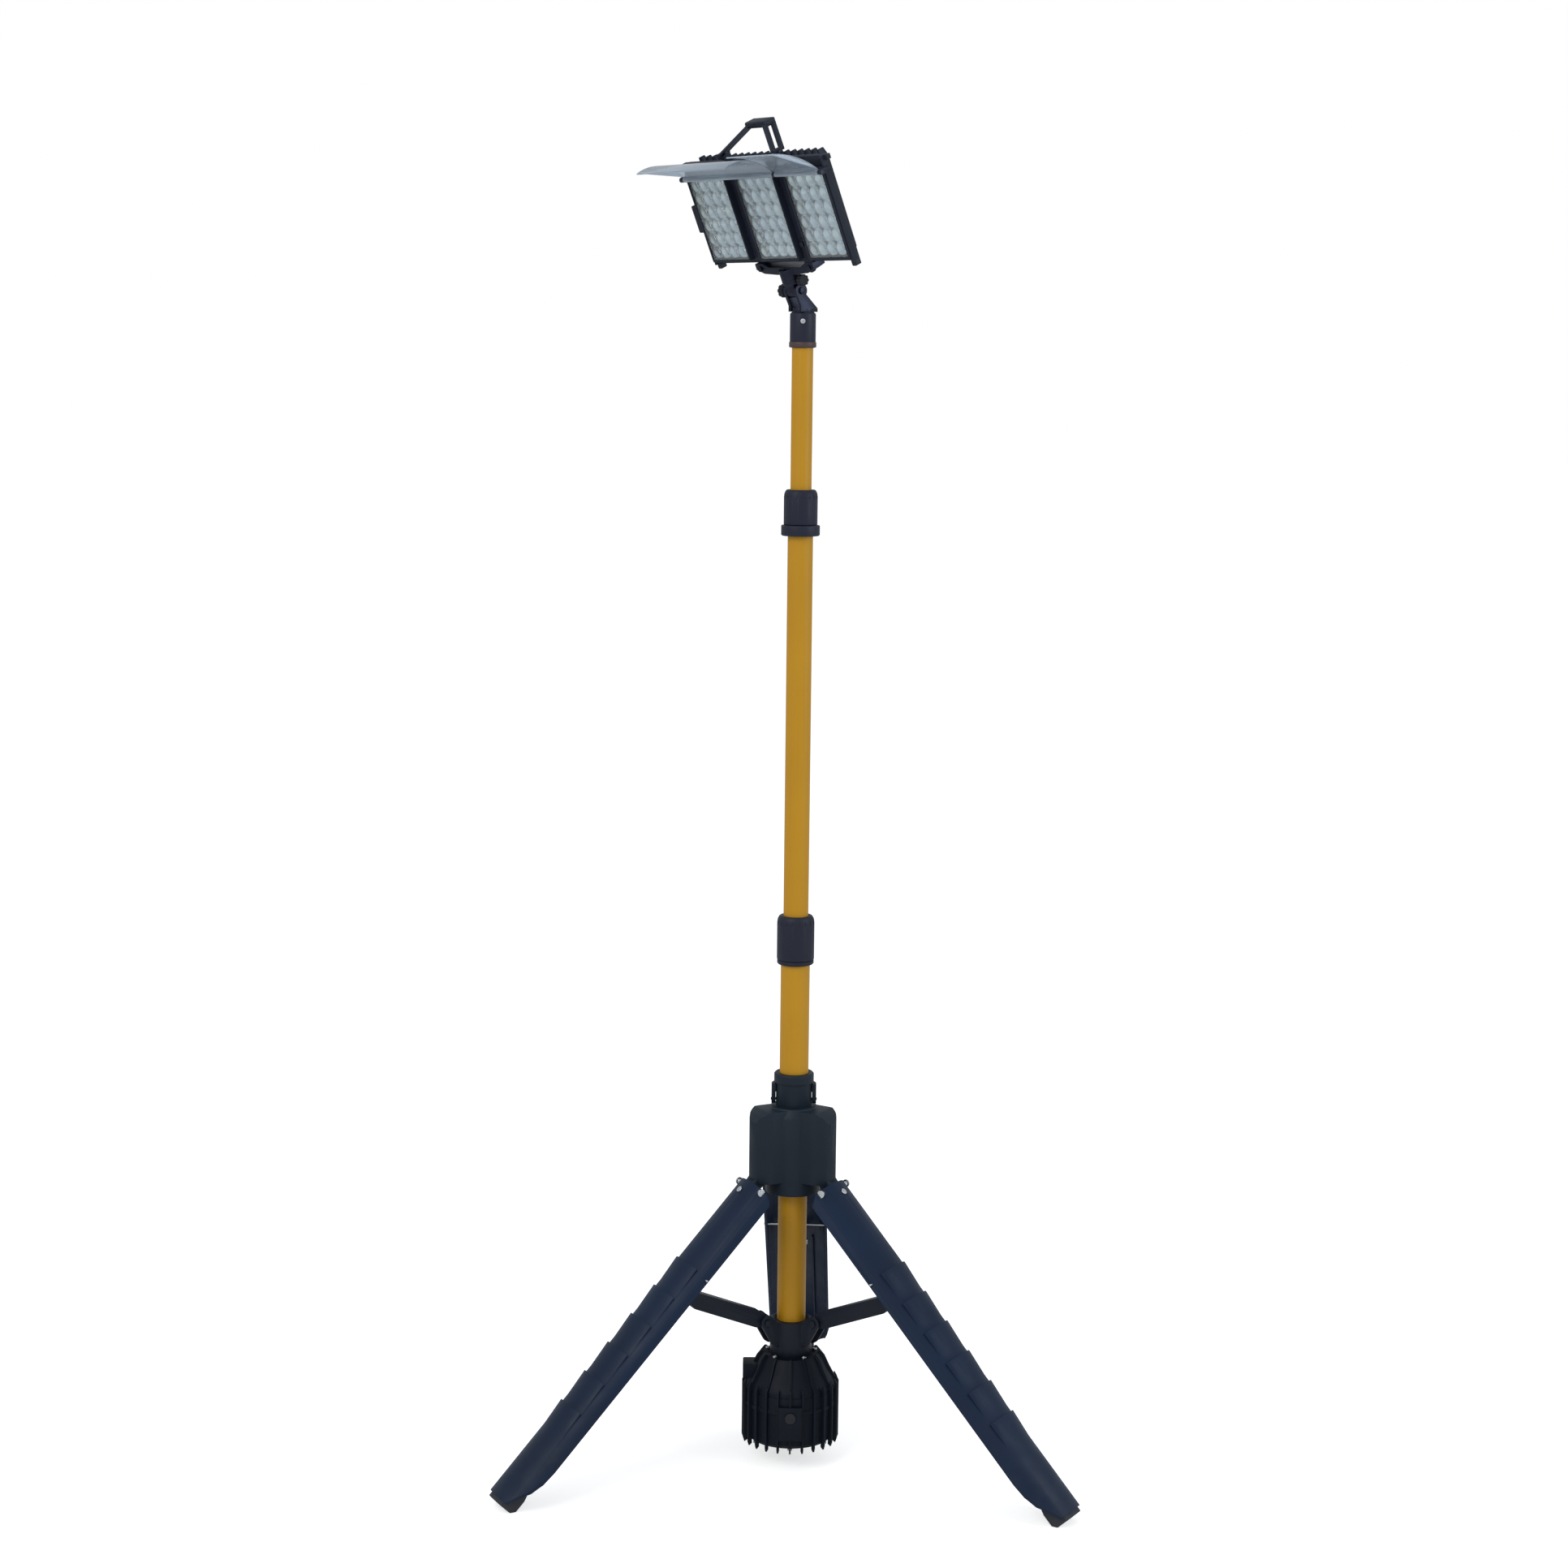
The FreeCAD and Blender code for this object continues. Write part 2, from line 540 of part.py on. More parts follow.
def make_legs():
    shell, foot = make_leg_shell(), make_leg_foot()
    along, out = size("strut_joint_along"), size("strut_joint_out")
    width = size("strut_half_width")
    rivets = []
    for sign in (1, -1):
        shank = Part.makeCylinder(3.0, 3.5, Vector(out, sign * (width + 1.7), -along), Vector(0, sign, 0))
        head = Part.makeCylinder(4.8, 2.0, Vector(out, sign * (width + 4.7), -along), Vector(0, sign, 0))
        rivets.append(shank.fuse(head))
    below_floor = box(-900, 900, -900, 900, -100, 0, name="Ground")
    for index in range(3):
        number = index + 1
        frame = leg_frame(index)
        finish(solid(shell.copy()), f"leg_shell_{number}", frame)
        block = placed(solid(foot.copy(), "FootBlock"), frame)
        finish(cut(block, below_floor), f"leg_foot_{number}")
        hardware = Part.makeCompound([leg_pin(), crown_screw(), tie_rod()] + rivets)
        finish(solid(hardware.copy()), f"leg_hardware_{number}", frame)


# ---------------------------------------------------------------- struts and lower bracket
def strut_joint():
    """Where the strut meets the leg, in the leg's own plane."""
    return LEG_TILT.multVec(Vector(size("strut_joint_out"), 0, -size("strut_joint_along")))


def make_struts():
    pivot = Vector(size("strut_pivot_r"), 0, size("strut_pivot_z"))
    joint = strut_joint()
    depth, width = size("strut_half_depth"), size("strut_half_width")
    along = (joint - pivot).normalize()
    middle_a = pivot + along * 16
    middle_b = joint - along * 26
    bar = thick(link_face(pivot, 10.0, joint, 7.5), -width, width)
    bar = bar.fuse(thick(link_face(middle_a, depth, middle_b, depth), -width, width))
    # The underside is open: a pressed channel with a 3 mm top web.
    down = Vector(along.z, 0, -along.x)
    hollow = thick(link_face(middle_a + down * 6 + along * 4, 10.0, middle_b + down * 6 - along * 4, 10.0),
                   -width + 2.5, width - 2.5)
    bar = bar.cut(hollow)
    bar = bar.cut(Part.makeCylinder(3.55, 60, pivot - Vector(0, 30, 0), Vector(0, 1, 0)))
    bar = bar.cut(Part.makeCylinder(3.0, 60, joint - Vector(0, 30, 0), Vector(0, 1, 0)))
    bar = bar.removeSplitter()
    for index in range(3):
        finish(solid(bar.copy()), f"strut_{index + 1}", spoke(index))


def make_bracket():
    """Lower bracket: a clamped ring on the tube with three strut forks."""
    pivot = Vector(size("strut_pivot_r"), 0, size("strut_pivot_z"))
    width = size("strut_half_width")
    sleeve = ring("bracket_r", "low_tube_r", "bracket_bottom", "bracket_top", name="Bracket")
    inside = Part.makeCylinder(size("low_tube_r") + 0.5, 400, Vector(0, 0, 0))
    cheeks = []
    pins = []
    for index in range(3):
        plate = link_face(Vector(27, 0, 189), 14.0, pivot, 10.5)
        for low in (-width - 4.5, width + 0.8):
            cheek = thick(plate, low, low + 3.7).cut(inside)
            cheek = cheek.cut(Part.makeCylinder(3.5, 60, pivot - Vector(0, 30, 0), Vector(0, 1, 0)))
            cheeks.append(placed(solid(cheek, "Cheek"), spoke(index)))
        pin = Part.makeCylinder(3.5, 2 * width + 11, pivot - Vector(0, width + 5.5, 0), Vector(0, 1, 0))
        for y in (-width - 7.3, width + 4.9):
            pin = pin.fuse(Part.makeCylinder(5.2, 2.4, Vector(pivot.x, y, pivot.z), Vector(0, 1, 0)))
        pins.append(pin.transformGeometry(spoke(index).toMatrix()))
    clearance = [placed(solid(thick(link_face(pivot, 12.0, pivot + Vector(30, 0, 12), 14.0),
                                         -width - 0.4, width + 0.4), "Room"), spoke(index))
                 for index in range(3)]
    body = fuse(sleeve, *cheeks, name="BracketBody")
    finish(cut(body, *clearance), "lower_bracket")
    finish(solid(Part.makeCompound(pins)), "strut_pivot_pins")


# ---------------------------------------------------------------- battery pod
def make_pod():
    z0, seam = "pod_bottom", "pod_seam"
    wall = size("pod_wall")
    housing = turned("PodCup", [
        (0, z0), (("pod_core_r", -6), z0), ("pod_core_r", (z0, 6)), ("pod_core_r", (z0, 52)),
        (("pod_core_r", 1.6), (z0, 53)), (("pod_core_r", 1.6), (z0, 58)), ("pod_core_r", (z0, 59)),
        ("pod_core_r", seam), (("pod_core_r", -wall), seam), (("pod_core_r", -wall), (z0, 8)),
        (("pod_core_r", -8), (z0, wall)), (0, (z0, wall))])
    fin = outline(housing, "XZ_Plane", [
        (("pod_core_r", -1), (z0, 3)), (("pod_core_r", -1), (z0, -2)), (("pod_r", -2), (z0, -5)),
        ("pod_r", (z0, 1)), ("pod_r", (seam, 7.5)), (("pod_r", -3.4), (seam, 14)),
        (("pod_core_r", 0.6), (seam, 14)), (("pod_core_r", 0.6), seam), (("pod_core_r", -1), seam)],
        "FinSketch")
    pad = housing.newObject("PartDesign::Pad", "Fin")
    pad.Profile = fin
    pad.Midplane = True
    pad.Length = 2.6
    doc.recompute()
    pattern(housing, pad, int(size("pod_fins")))
    boss = Part.makeCylinder(13.0, 12.0, Vector(0, size("pod_r") - 11.8, INLET_Z), Vector(0, 1, 0))
    boss = boss.cut(Part.makeCylinder(size("pod_core_r") - 1.0, 100, Vector(0, 0, 50)))
    panel = solid(control_panel(), "Panel")
    housing = fuse(housing, panel, solid(boss, "InletBoss"), name="Housing")
    finish(cut(housing, solid(button_well(), "ButtonWell")), "pod_housing")

    # Conical cover inside the ring of fin tips, with radial ribs and a connector box on the left.
    cover = turned("CoverCone", [
        (62.6, (seam, 0.2)), (65.8, (seam, 0.2)), (65.8, (seam, 5)), (63.5, (seam, 11)),
        (52.5, (seam, 29.5)), (46, (seam, 43)), (41, "pod_top"), ("low_tube_r", "pod_top"),
        ("low_tube_r", ("pod_top", -3.5)), (39, ("pod_top", -3.5)), (43, (seam, 41)), (49.5, (seam, 28)),
        (60, (seam, 9.5)), (62.6, (seam, 5))])
    rib = outline(cover, "XZ_Plane", [
        (64.2, (seam, 6.5)), (51, (seam, 28.8)), (44.5, (seam, 42)), (40, (seam, 48.2)),
        (41, (seam, 52.5)), (44.5, (seam, 52.5)), (50.2, (seam, 45.5)), (56.8, (seam, 31)),
        (65.9, (seam, 13.5)), (65.9, (seam, 7))], "RibSketch")
    rib_pad = cover.newObject("PartDesign::Pad", "Rib")
    rib_pad.Profile = rib
    rib_pad.Midplane = True
    rib_pad.Length = 3.2
    doc.recompute()
    pattern(cover, rib_pad, 12)
    cover_room = Part.makeCone(60.0, 43.0, 30.5, Vector(0, 0, size(seam) + 9.5))
    connector_box = Part.makeBox(26.5, 30, 21, Vector(-70.5, -15, size(seam) + 14.5))
    upright = [e for e in connector_box.Edges if e.BoundBox.ZLength > 18 and e.CenterOfMass.x < -60]
    connector_box = connector_box.makeFillet(3.0, upright).cut(cover_room)
    cover = fuse(cover, solid(connector_box, "ConnectorBox"), name="Cover")
    finish(cover, "pod_cover")

    finish(ring(("pod_core_r", -wall - 0.1), ("pod_core_r", -wall - 3.0), (seam, -2.5), seam, name="Seal"),
           "pod_gasket")
    # Seven cells in two holders, with the charge board above them.
    cell_z = size(z0) + 12
    height, radius = size("cell_height"), size("cell_r")
    ring_r = 23.5
    turns = [math.radians(60 * k) for k in range(6)]
    spots = [Vector()] + [Vector(ring_r * math.cos(turn), ring_r * math.sin(turn), 0) for turn in turns]
    cells = [Part.makeCylinder(radius, height, spot + Vector(0, 0, cell_z)) for spot in spots]
    finish(solid(Part.makeCompound(cells)), "battery_cells")
    holders = []
    for low in (cell_z - 3.0, cell_z + height - 7.0):
        disc = Part.makeCylinder(40, 10, Vector(0, 0, low))
        for spot in spots:
            disc = disc.cut(Part.makeCylinder(radius, 80, spot + Vector(0, 0, cell_z)))
        holders.append(disc)
    finish(solid(Part.makeCompound(holders)), "cell_holders")
    board_z = cell_z + height + 4.5
    board = Part.makeCylinder(44, 1.6, Vector(0, 0, board_z))
    chips = [Part.makeBox(14, 10, 5, Vector(-7, 12, board_z + 1.6)),
             Part.makeBox(9, 9, 6, Vector(-24, -12, board_z + 1.6)),
             Part.makeCylinder(5, 12, Vector(22, -14, board_z + 1.6))]
    for chip in chips:
        board = board.fuse(chip)
    finish(solid(board), "charge_board")
    screws = []
    for k in range(6):
        turn = math.radians(60 * k + 30)
        spot = Vector(58 * math.cos(turn), 58 * math.sin(turn), 0)
        boss = Part.makeCylinder(3.6, 3.0, spot + Vector(0, 0, size(z0) - 3.2))
        screws.append(boss.cut(Part.makeCylinder(1.8, 1.6, spot + Vector(0, 0, size(z0) - 3.4))))
    # Five more hold the neck of the cover under the bracket.
    for k in range(5):
        turn = math.radians(72 * k + 14)
        spot = Vector(36.2 * math.cos(turn), 36.2 * math.sin(turn), size("pod_top"))
        head = Part.makeCylinder(3.4, 3.0, spot)
        screws.append(head.cut(Part.makeCylinder(1.7, 1.6, spot + Vector(0, 0, 1.6))))
    finish(solid(Part.makeCompound(screws)), "pod_screws")


INLET_Z = 84.0              # height of the charge inlet
CAP_HINGE_RISE = 16.0       # hinge of the inlet cap above the inlet
BUTTON_Z = 84.0             # height of the power button


def control_panel():
    """Raised panel moulded on the front of the cup."""
    front = size("pod_r")
    panel = Part.makeBox(34, 12, 50, Vector(-17, -front - 3, BUTTON_Z - 34))
    return panel.cut(Part.makeCylinder(size("pod_core_r") - 1.0, 100, Vector(0, 0, 40)))


def button_well():
    """Room for the power button in the panel and the fin behind it."""
    return Part.makeCylinder(8.4, 10, Vector(0, -size("pod_r") - 8, BUTTON_Z), Vector(0, 1, 0))


def make_pod_controls():
    """Power button on the front panel, and the charge inlet with its cap at the back."""
    front = size("pod_r")
    button = Part.makeCylinder(8.0, 4.0, Vector(0, -front - 4.6, BUTTON_Z), Vector(0, 1, 0))
    edge = [e for e in button.Edges if abs(e.CenterOfMass.y + front + 4.6) < 0.01]
    finish(solid(button.makeFillet(0.8, edge[:1])), "power_button")

    face, y_axis, x_axis = front + 0.2, Vector(0, 1, 0), Vector(1, 0, 0)
    collar = Part.makeCylinder(12.5, 6, Vector(0, face, INLET_Z), y_axis)
    collar = collar.cut(Part.makeCylinder(8.5, 6, Vector(0, face + 1.5, INLET_Z), y_axis))
    contact = Part.makeCylinder(1.5, 4.0, Vector(0, face + 1.5, INLET_Z), y_axis)
    inlet = collar.fuse(contact)
    hinge_y, hinge_z = face + 7.3, INLET_Z + CAP_HINGE_RISE
    for low in (-8.3, 5.3):
        ear = Part.makeBox(3, 6, CAP_HINGE_RISE - 8, Vector(low, face, INLET_Z + 8))
        ear = ear.cut(Part.makeCylinder(10.0, 6, Vector(0, face, INLET_Z), y_axis))
        ear = ear.fuse(Part.makeBox(3, hinge_y - face, 5.2, Vector(low, face, hinge_z - 2.6)))
        ear = ear.fuse(Part.makeCylinder(2.6, 3, Vector(low, hinge_y, hinge_z), x_axis))
        inlet = inlet.fuse(ear)
    inlet = inlet.fuse(Part.makeCylinder(1.2, 16, Vector(-8, hinge_y, hinge_z), x_axis))
    finish(solid(inlet.removeSplitter()), "charge_inlet")

    cap = Part.makeCylinder(13.2, 2.0, Vector(0, face + 6.3, INLET_Z), y_axis)
    cap = cap.cut(Part.makeBox(40, 10, 20, Vector(-20, face, INLET_Z + 12.0)))
    cap = cap.fuse(Part.makeBox(8, 2.0, 10.5, Vector(-4, face + 6.3, INLET_Z + 8.0)))
    cap = cap.fuse(Part.makeCylinder(2.4, 9.6, Vector(-4.8, hinge_y, hinge_z), x_axis))
    cap = cap.cut(Part.makeCylinder(1.2 + size("pin_gap"), 20, Vector(-10, hinge_y, hinge_z), x_axis))
    finish(solid(cap.removeSplitter()), "inlet_cap")


# ---------------------------------------------------------------- lamp head (head frame)
MODULES = [size("module_pitch") * k for k in (-1, 0, 1)]


def slab(x0, x1, y0, y1, z0, z1):
    return Part.makeBox(x1 - x0, y1 - y0, z1 - z0, Vector(x0, y0, z0))


def rounded(shape, radius, test):
    """Fillet the edges that run along Y and pass a test on their middle point."""
    edges = [e for e in shape.Edges if e.BoundBox.XLength < 0.01 and e.BoundBox.ZLength < 0.01 and test(e)]
    return shape.makeFillet(radius, edges) if edges else shape


def make_head_frame():
    half, low, high = size("head_half_width"), size("head_bottom"), size("head_top")
    mw, mh = size("module_half_width"), size("module_half_height")
    lw, lh = size("lens_half_width"), size("lens_half_height")
    frame = rounded(slab(-half, half, 10, 16, low, high), 3.0, lambda e: True)
    for x in MODULES:
        block = rounded(slab(x - mw, x + mw, 0, 10, -mh, mh), 3.0, lambda e: True)
        block = block.cut(slab(x - lw, x + lw, -1, 10, -lh, lh))
        frame = frame.fuse(block)
    for sign in (1, -1):
        edge = sign * half
        frame = frame.fuse(slab(min(edge, edge - 3 * sign), max(edge, edge - 3 * sign), 3, 12, low, high))
        tab = slab(min(edge, edge - 9 * sign), max(edge, edge - 9 * sign), 7, 16, low - 7, low + 2)
        frame = frame.fuse(rounded(tab, 2.0, lambda e: e.CenterOfMass.z < low - 5))
        low_x, high_x = sorted((edge - 4 * sign, edge + 6 * sign))
        frame = frame.fuse(slab(low_x, high_x, 8, 15, high - 7, high))
    # Top rail behind the visor hinge, with the hinge knuckles and the handle lugs.
    frame = frame.fuse(slab(-half, half, 7, 12, mh + 1, high))
    hy, hz = size("visor_hinge_y"), size("visor_hinge_z")
    for x0, x1 in knuckle_spans():
        knuckle = slab(x0, x1, hy, 10, hz - 3.6, hz + 3.6).fuse(
            Part.makeCylinder(3.6, x1 - x0, Vector(x0, hy, hz), Vector(1, 0, 0)))
        frame = frame.fuse(knuckle)
    frame = frame.cut(Part.makeCylinder(2.0, 400, Vector(-200, hy, hz), Vector(1, 0, 0)))
    py, pz, foot_x = size("handle_pin_y"), size("handle_pin_z"), size("handle_foot_x")
    for sign in (1, -1):
        x0 = sign * foot_x - (10 if sign > 0 else -4)
        lug = slab(x0, x0 + 6, py - 5, py + 5, high - 2, pz).fuse(
            Part.makeCylinder(5.0, 6, Vector(x0, py, pz), Vector(1, 0, 0)))
        frame = frame.fuse(lug)
    frame = frame.cut(Part.makeCylinder(2.5, 400, Vector(-200, py, pz), Vector(1, 0, 0)))
    # Switch housing on the left edge, with a well for each push button.
    housing = rounded(slab(-half - 8, -half + 1, 1, 14, -20, 20), 2.0, lambda e: e.CenterOfMass.x < -half - 4)
    for z in (11.0, -11.0):
        housing = housing.cut(Part.makeCylinder(4.3, 6, Vector(-half - 9, 7.5, z), Vector(1, 0, 0)))
    return frame.fuse(housing).removeSplitter()


def knuckle_spans():
    """X spans of the three visor hinge knuckles."""
    half = size("head_half_width")
    gap_x = size("module_pitch") / 2.0
    return [(-half - 3.0, -half + 3.5), (gap_x - 2.0, gap_x + 2.0), (half - 3.5, half + 3.0)]


def make_heat_sink():
    plate = slab(-132, 132, 16, 20, -68, 78)
    pitch, thickness, back = size("fin_pitch"), size("fin_thickness"), size("fin_back")
    shape = plate
    for k in range(-9, 10):
        x = k * pitch
        profile = Part.Face(Part.makePolygon([Vector(x - thickness / 2, y, z) for y, z in (
            (19, -66), (back - 5, -66), (back, -58), (back, 72), (back - 5, 84), (19, 84), (19, -66))]))
        shape = shape.fuse(profile.extrude(Vector(thickness, 0, 0)))
    return shape.removeSplitter()


def make_optics():
    lw, lh = size("lens_half_width"), size("lens_half_height")
    columns, rows, pitch_x, pitch_z = 4, 6, 19.0, 19.8
    covers, seals, boards = [], [], []
    for x in MODULES:
        covers.append(rounded(slab(x - lw + 0.15, x + lw - 0.15, 1.0, 4.0, -lh + 0.15, lh - 0.15), 2.0,
                              lambda e: True))
        seals.append(slab(x - lw, x + lw, 4.0, 5.2, -lh, lh).cut(
            slab(x - lw + 2.5, x + lw - 2.5, 3, 6, -lh + 2.5, lh - 2.5)))
        board = slab(x - lw + 1, x + lw - 1, 8.4, 10.0, -lh + 1, lh - 1)
        for column in range(columns):
            for row_number in range(rows):
                cx = x + (column - (columns - 1) / 2) * pitch_x
                cz = (row_number - (rows - 1) / 2) * pitch_z
                board = board.fuse(slab(cx - 1.8, cx + 1.8, 7.4, 8.6, cz - 1.8, cz + 1.8))
        boards.append(board)
    for shapes, label in ((covers, "lens_covers"), (seals, "lens_seals"), (boards, "led_boards")):
        finish(solid(Part.makeCompound(shapes)), label, HEAD_PLACE)


def make_visors():
    hy, hz = size("visor_hinge_y"), size("visor_hinge_z")
    thickness = size("visor_thickness")
    spans = knuckle_spans()
    gap = 0.5
    reach = size("head_half_width") + 3.0
    hinge_rod = Part.makeCylinder(2.0, 2 * reach, Vector(-reach, hy, hz), Vector(1, 0, 0))
    finish(solid(hinge_rod), "visor_hinge_rod", HEAD_PLACE)
    wide, narrow = (spans[0][1] + gap, spans[1][0] - gap), (spans[1][1] + gap, spans[2][0] - gap)
    for label, (x0, x1), wall_x, length, bow, opening in (
            ("visor_wide", wide, wide[0], size("visor_length") - 4.0, 13.0, 115.0),
            ("visor_narrow", narrow, narrow[1] - thickness, size("visor_length"), 7.0, 124.0)):
        # Drawn shut, hanging in front of the lenses, bowed outwards and walled at its outer end; then opened.
        front = hy - 3.6
        outer = Part.Arc(Vector(x0, front, hz), Vector(x0, front - bow, hz - length / 2),
                         Vector(x0, front, hz - length))
        inner = Part.Arc(Vector(x0, front + thickness, hz - length),
                         Vector(x0, front + thickness - bow, hz - length / 2),
                         Vector(x0, front + thickness, hz))
        tip = Part.LineSegment(outer.EndPoint, inner.StartPoint)
        root = Part.LineSegment(inner.EndPoint, outer.StartPoint)
        section = Part.Face(Part.Wire([edge.toShape() for edge in (outer, tip, inner, root)]))
        chord = Part.LineSegment(outer.EndPoint, outer.StartPoint)
        wall = Part.Face(Part.Wire([outer.toShape(), chord.toShape()])).extrude(Vector(thickness, 0, 0))
        wall.translate(Vector(wall_x - x0, 0, 0))
        blade = section.extrude(Vector(x1 - x0, 0, 0)).fuse(wall)
        blade = blade.fuse(Part.makeCylinder(3.6, x1 - x0, Vector(x0, hy, hz), Vector(1, 0, 0)))
        rod_room = Part.makeCylinder(2.0 + size("pin_gap"), 400, Vector(-200, hy, hz), Vector(1, 0, 0))
        blade = blade.cut(rod_room)
        blade.rotate(Vector(0, hy, hz), Vector(1, 0, 0), -opening)
        finish(solid(blade.removeSplitter()), label, HEAD_PLACE)


def make_handle():
    py, pz, foot_x = size("handle_pin_y"), size("handle_pin_z"), size("handle_foot_x")
    lean = Vector(-41, 32, 29)
    bar_y, bar_x = 5.0, 7.0
    handle = None
    for sign in (1, -1):
        x0 = sign * foot_x - 3.5
        foot = Part.makeCylinder(5.6, 7, Vector(x0, py, pz), Vector(1, 0, 0))
        yoke = slab(x0, x0 + 7, py - 10, py + 10, pz + 1.5, pz + 6)
        rise = Vector(lean.x * sign, lean.y, lean.z)
        arms = None
        for y in (py - 10, py + 10 - bar_y):
            base = Part.Face(Part.makePolygon([Vector(x, b, pz + 4) for x, b in (
                (x0, y), (x0 + bar_x, y), (x0 + bar_x, y + bar_y), (x0, y + bar_y), (x0, y))]))
            arm = base.extrude(rise)
            arms = arm if arms is None else arms.fuse(arm)
        side = foot.fuse(yoke).fuse(arms)
        handle = side if handle is None else handle.fuse(side)
    top_z = pz + 4 + lean.z
    grip_half = foot_x + 3.5 + lean.x
    grip_y = py + lean.y
    grip = slab(-grip_half, grip_half, grip_y - 10, grip_y + 10, top_z - 4.5, top_z + 4.5)
    ends = [e for e in grip.Edges if e.BoundBox.XLength > 30]
    grip = grip.makeFillet(2.5, ends)
    handle = handle.fuse(grip)
    handle = handle.cut(Part.makeCylinder(2.5 + size("pin_gap"), 400, Vector(-200, py, pz), Vector(1, 0, 0)))
    finish(solid(handle.removeSplitter()), "carry_handle", HEAD_PLACE)
    pins = []
    for sign in (1, -1):
        start = sign * (foot_x - 10)
        pins.append(Part.makeCylinder(2.5, 14.5, Vector(start, py, pz), Vector(sign, 0, 0)).fuse(
            Part.makeCylinder(4.0, 1.5, Vector(sign * (foot_x + 4.0), py, pz), Vector(sign, 0, 0))))
    ear_x, low = size("module_pitch") / 2.0, size("head_bottom")
    for x, y, z in ((-52.5, 4, low - 7.5), (52.5, 4, low - 7.5), (ear_x, 5.5, low + 27)):
        pins.append(Part.makeCylinder(3.8, 2.6, Vector(x, y, z), Vector(0, -1, 0)))
    finish(solid(Part.makeCompound(pins)), "head_fasteners", HEAD_PLACE)


def make_head_controls():
    edge = -size("head_half_width")
    for z, label in ((11.0, "mode_button"), (-11.0, "dim_button")):
        button = Part.makeCylinder(4.0, 6.0, Vector(edge - 11.5, 7.5, z), Vector(1, 0, 0))
        rim = [e for e in button.Edges if abs(e.CenterOfMass.x - edge + 11.5) < 0.01]
        finish(solid(button.makeFillet(0.8, rim[:1])), label, HEAD_PLACE)


SWIVEL_KNOB_RISE = 15.5     # height of the swivel clamp knob above the tilt axis


def make_yoke_and_knuckle():
    ty, tz = size("tilt_axis_y"), size("tilt_axis_z")
    low = size("head_bottom")
    # Yoke: swivel disc, V-shaped arms to the foot of the head and a front ear beside the middle module.
    right = [(20, low - 17), (47, low - 15), (62, low - 9), (62, low - 0.2), (46, low - 0.2), (34, low - 6)]
    arms = right + [(-x, z) for x, z in reversed(right)]
    yoke = thick(polygon_xz(arms), 4, 26)
    yoke = yoke.fuse(Part.makeCylinder(14, 12, Vector(0, ty, low - 21), Vector(0, 0, 1)))
    ear_x = size("module_pitch") / 2.0
    ear = thick(link_face(Vector(ear_x, 0, low + 27), 7.0, Vector(ear_x, 0, low - 6), 9.0), 5.5, 9.6)
    yoke = yoke.fuse(ear)
    yoke = yoke.cut(Part.makeCylinder(6.0 + size("pin_gap"), 14, Vector(0, ty, low - 22)))
    finish(solid(yoke.removeSplitter()), "head_yoke", HEAD_PLACE)
    lug = Part.makeCylinder(9.5, 17.4, Vector(-8.7, ty, tz), Vector(1, 0, 0))
    lug = lug.fuse(slab(-8.7, 8.7, ty - 8, ty + 8, tz, tz + 14))
    head_block = Part.makeCylinder(14.0, 9.2, Vector(0, ty, tz + 12.4))
    lug = lug.fuse(head_block).fuse(Part.makeCylinder(6.0, 9.0, Vector(0, ty, tz + 21.6)))
    lug = lug.cut(Part.makeCylinder(4.0, 60, Vector(-30, ty, tz), Vector(1, 0, 0)))
    stud_hole = Part.makeCylinder(2.5 + size("pin_gap"), 12, Vector(4.0, ty, tz + SWIVEL_KNOB_RISE),
                                  Vector(1, 0, 0))
    lug = lug.cut(stud_hole)
    finish(solid(lug.removeSplitter()), "tilt_knuckle", HEAD_PLACE)
    bolt = Part.makeCylinder(4.0 - size("pin_gap"), 36.0, Vector(-22.0, ty, tz), Vector(1, 0, 0))
    bolt = bolt.fuse(hexagon(5.0, 3.5, Vector(14.0, ty, tz)))
    finish(solid(bolt), "tilt_bolt", HEAD_PLACE)
    clamp = knob(9.5, 13.0, Vector(-14.4, ty, tz), -1)
    clamp = clamp.cut(Part.makeCylinder(4.0, 8.0, Vector(-22.4, ty, tz), Vector(1, 0, 0)))
    finish(solid(clamp), "tilt_knob", HEAD_PLACE)
    clamp = knob(8.0, 12.0, Vector(15.2, ty, tz + SWIVEL_KNOB_RISE), 1)
    clamp = clamp.fuse(Part.makeCylinder(2.5, 11.0, Vector(4.6, ty, tz + SWIVEL_KNOB_RISE), Vector(1, 0, 0)))
    finish(solid(clamp), "swivel_knob", HEAD_PLACE)


def hexagon(radius, height, centre):
    turns = [math.radians(60 * k) for k in range(7)]
    corners = [centre + Vector(0, radius * math.cos(turn), radius * math.sin(turn)) for turn in turns]
    return Part.Face(Part.makePolygon(corners)).extrude(Vector(height, 0, 0))


def knob(radius, length, start, side):
    """Fluted clamp knob on an X axis, starting at a point and pointing to +X or -X."""
    body = Part.makeCylinder(radius, length - 3, start + Vector(3 * side, 0, 0), Vector(side, 0, 0))
    body = body.fuse(Part.makeCylinder(radius - 3, 3.5, start, Vector(side, 0, 0)))
    for k in range(8):
        turn = math.radians(45 * k)
        groove = Vector(0, (radius + 1.2) * math.cos(turn), (radius + 1.2) * math.sin(turn))
        body = body.cut(Part.makeCylinder(2.2, length + 2, start + groove, Vector(side, 0, 0)))
    return body


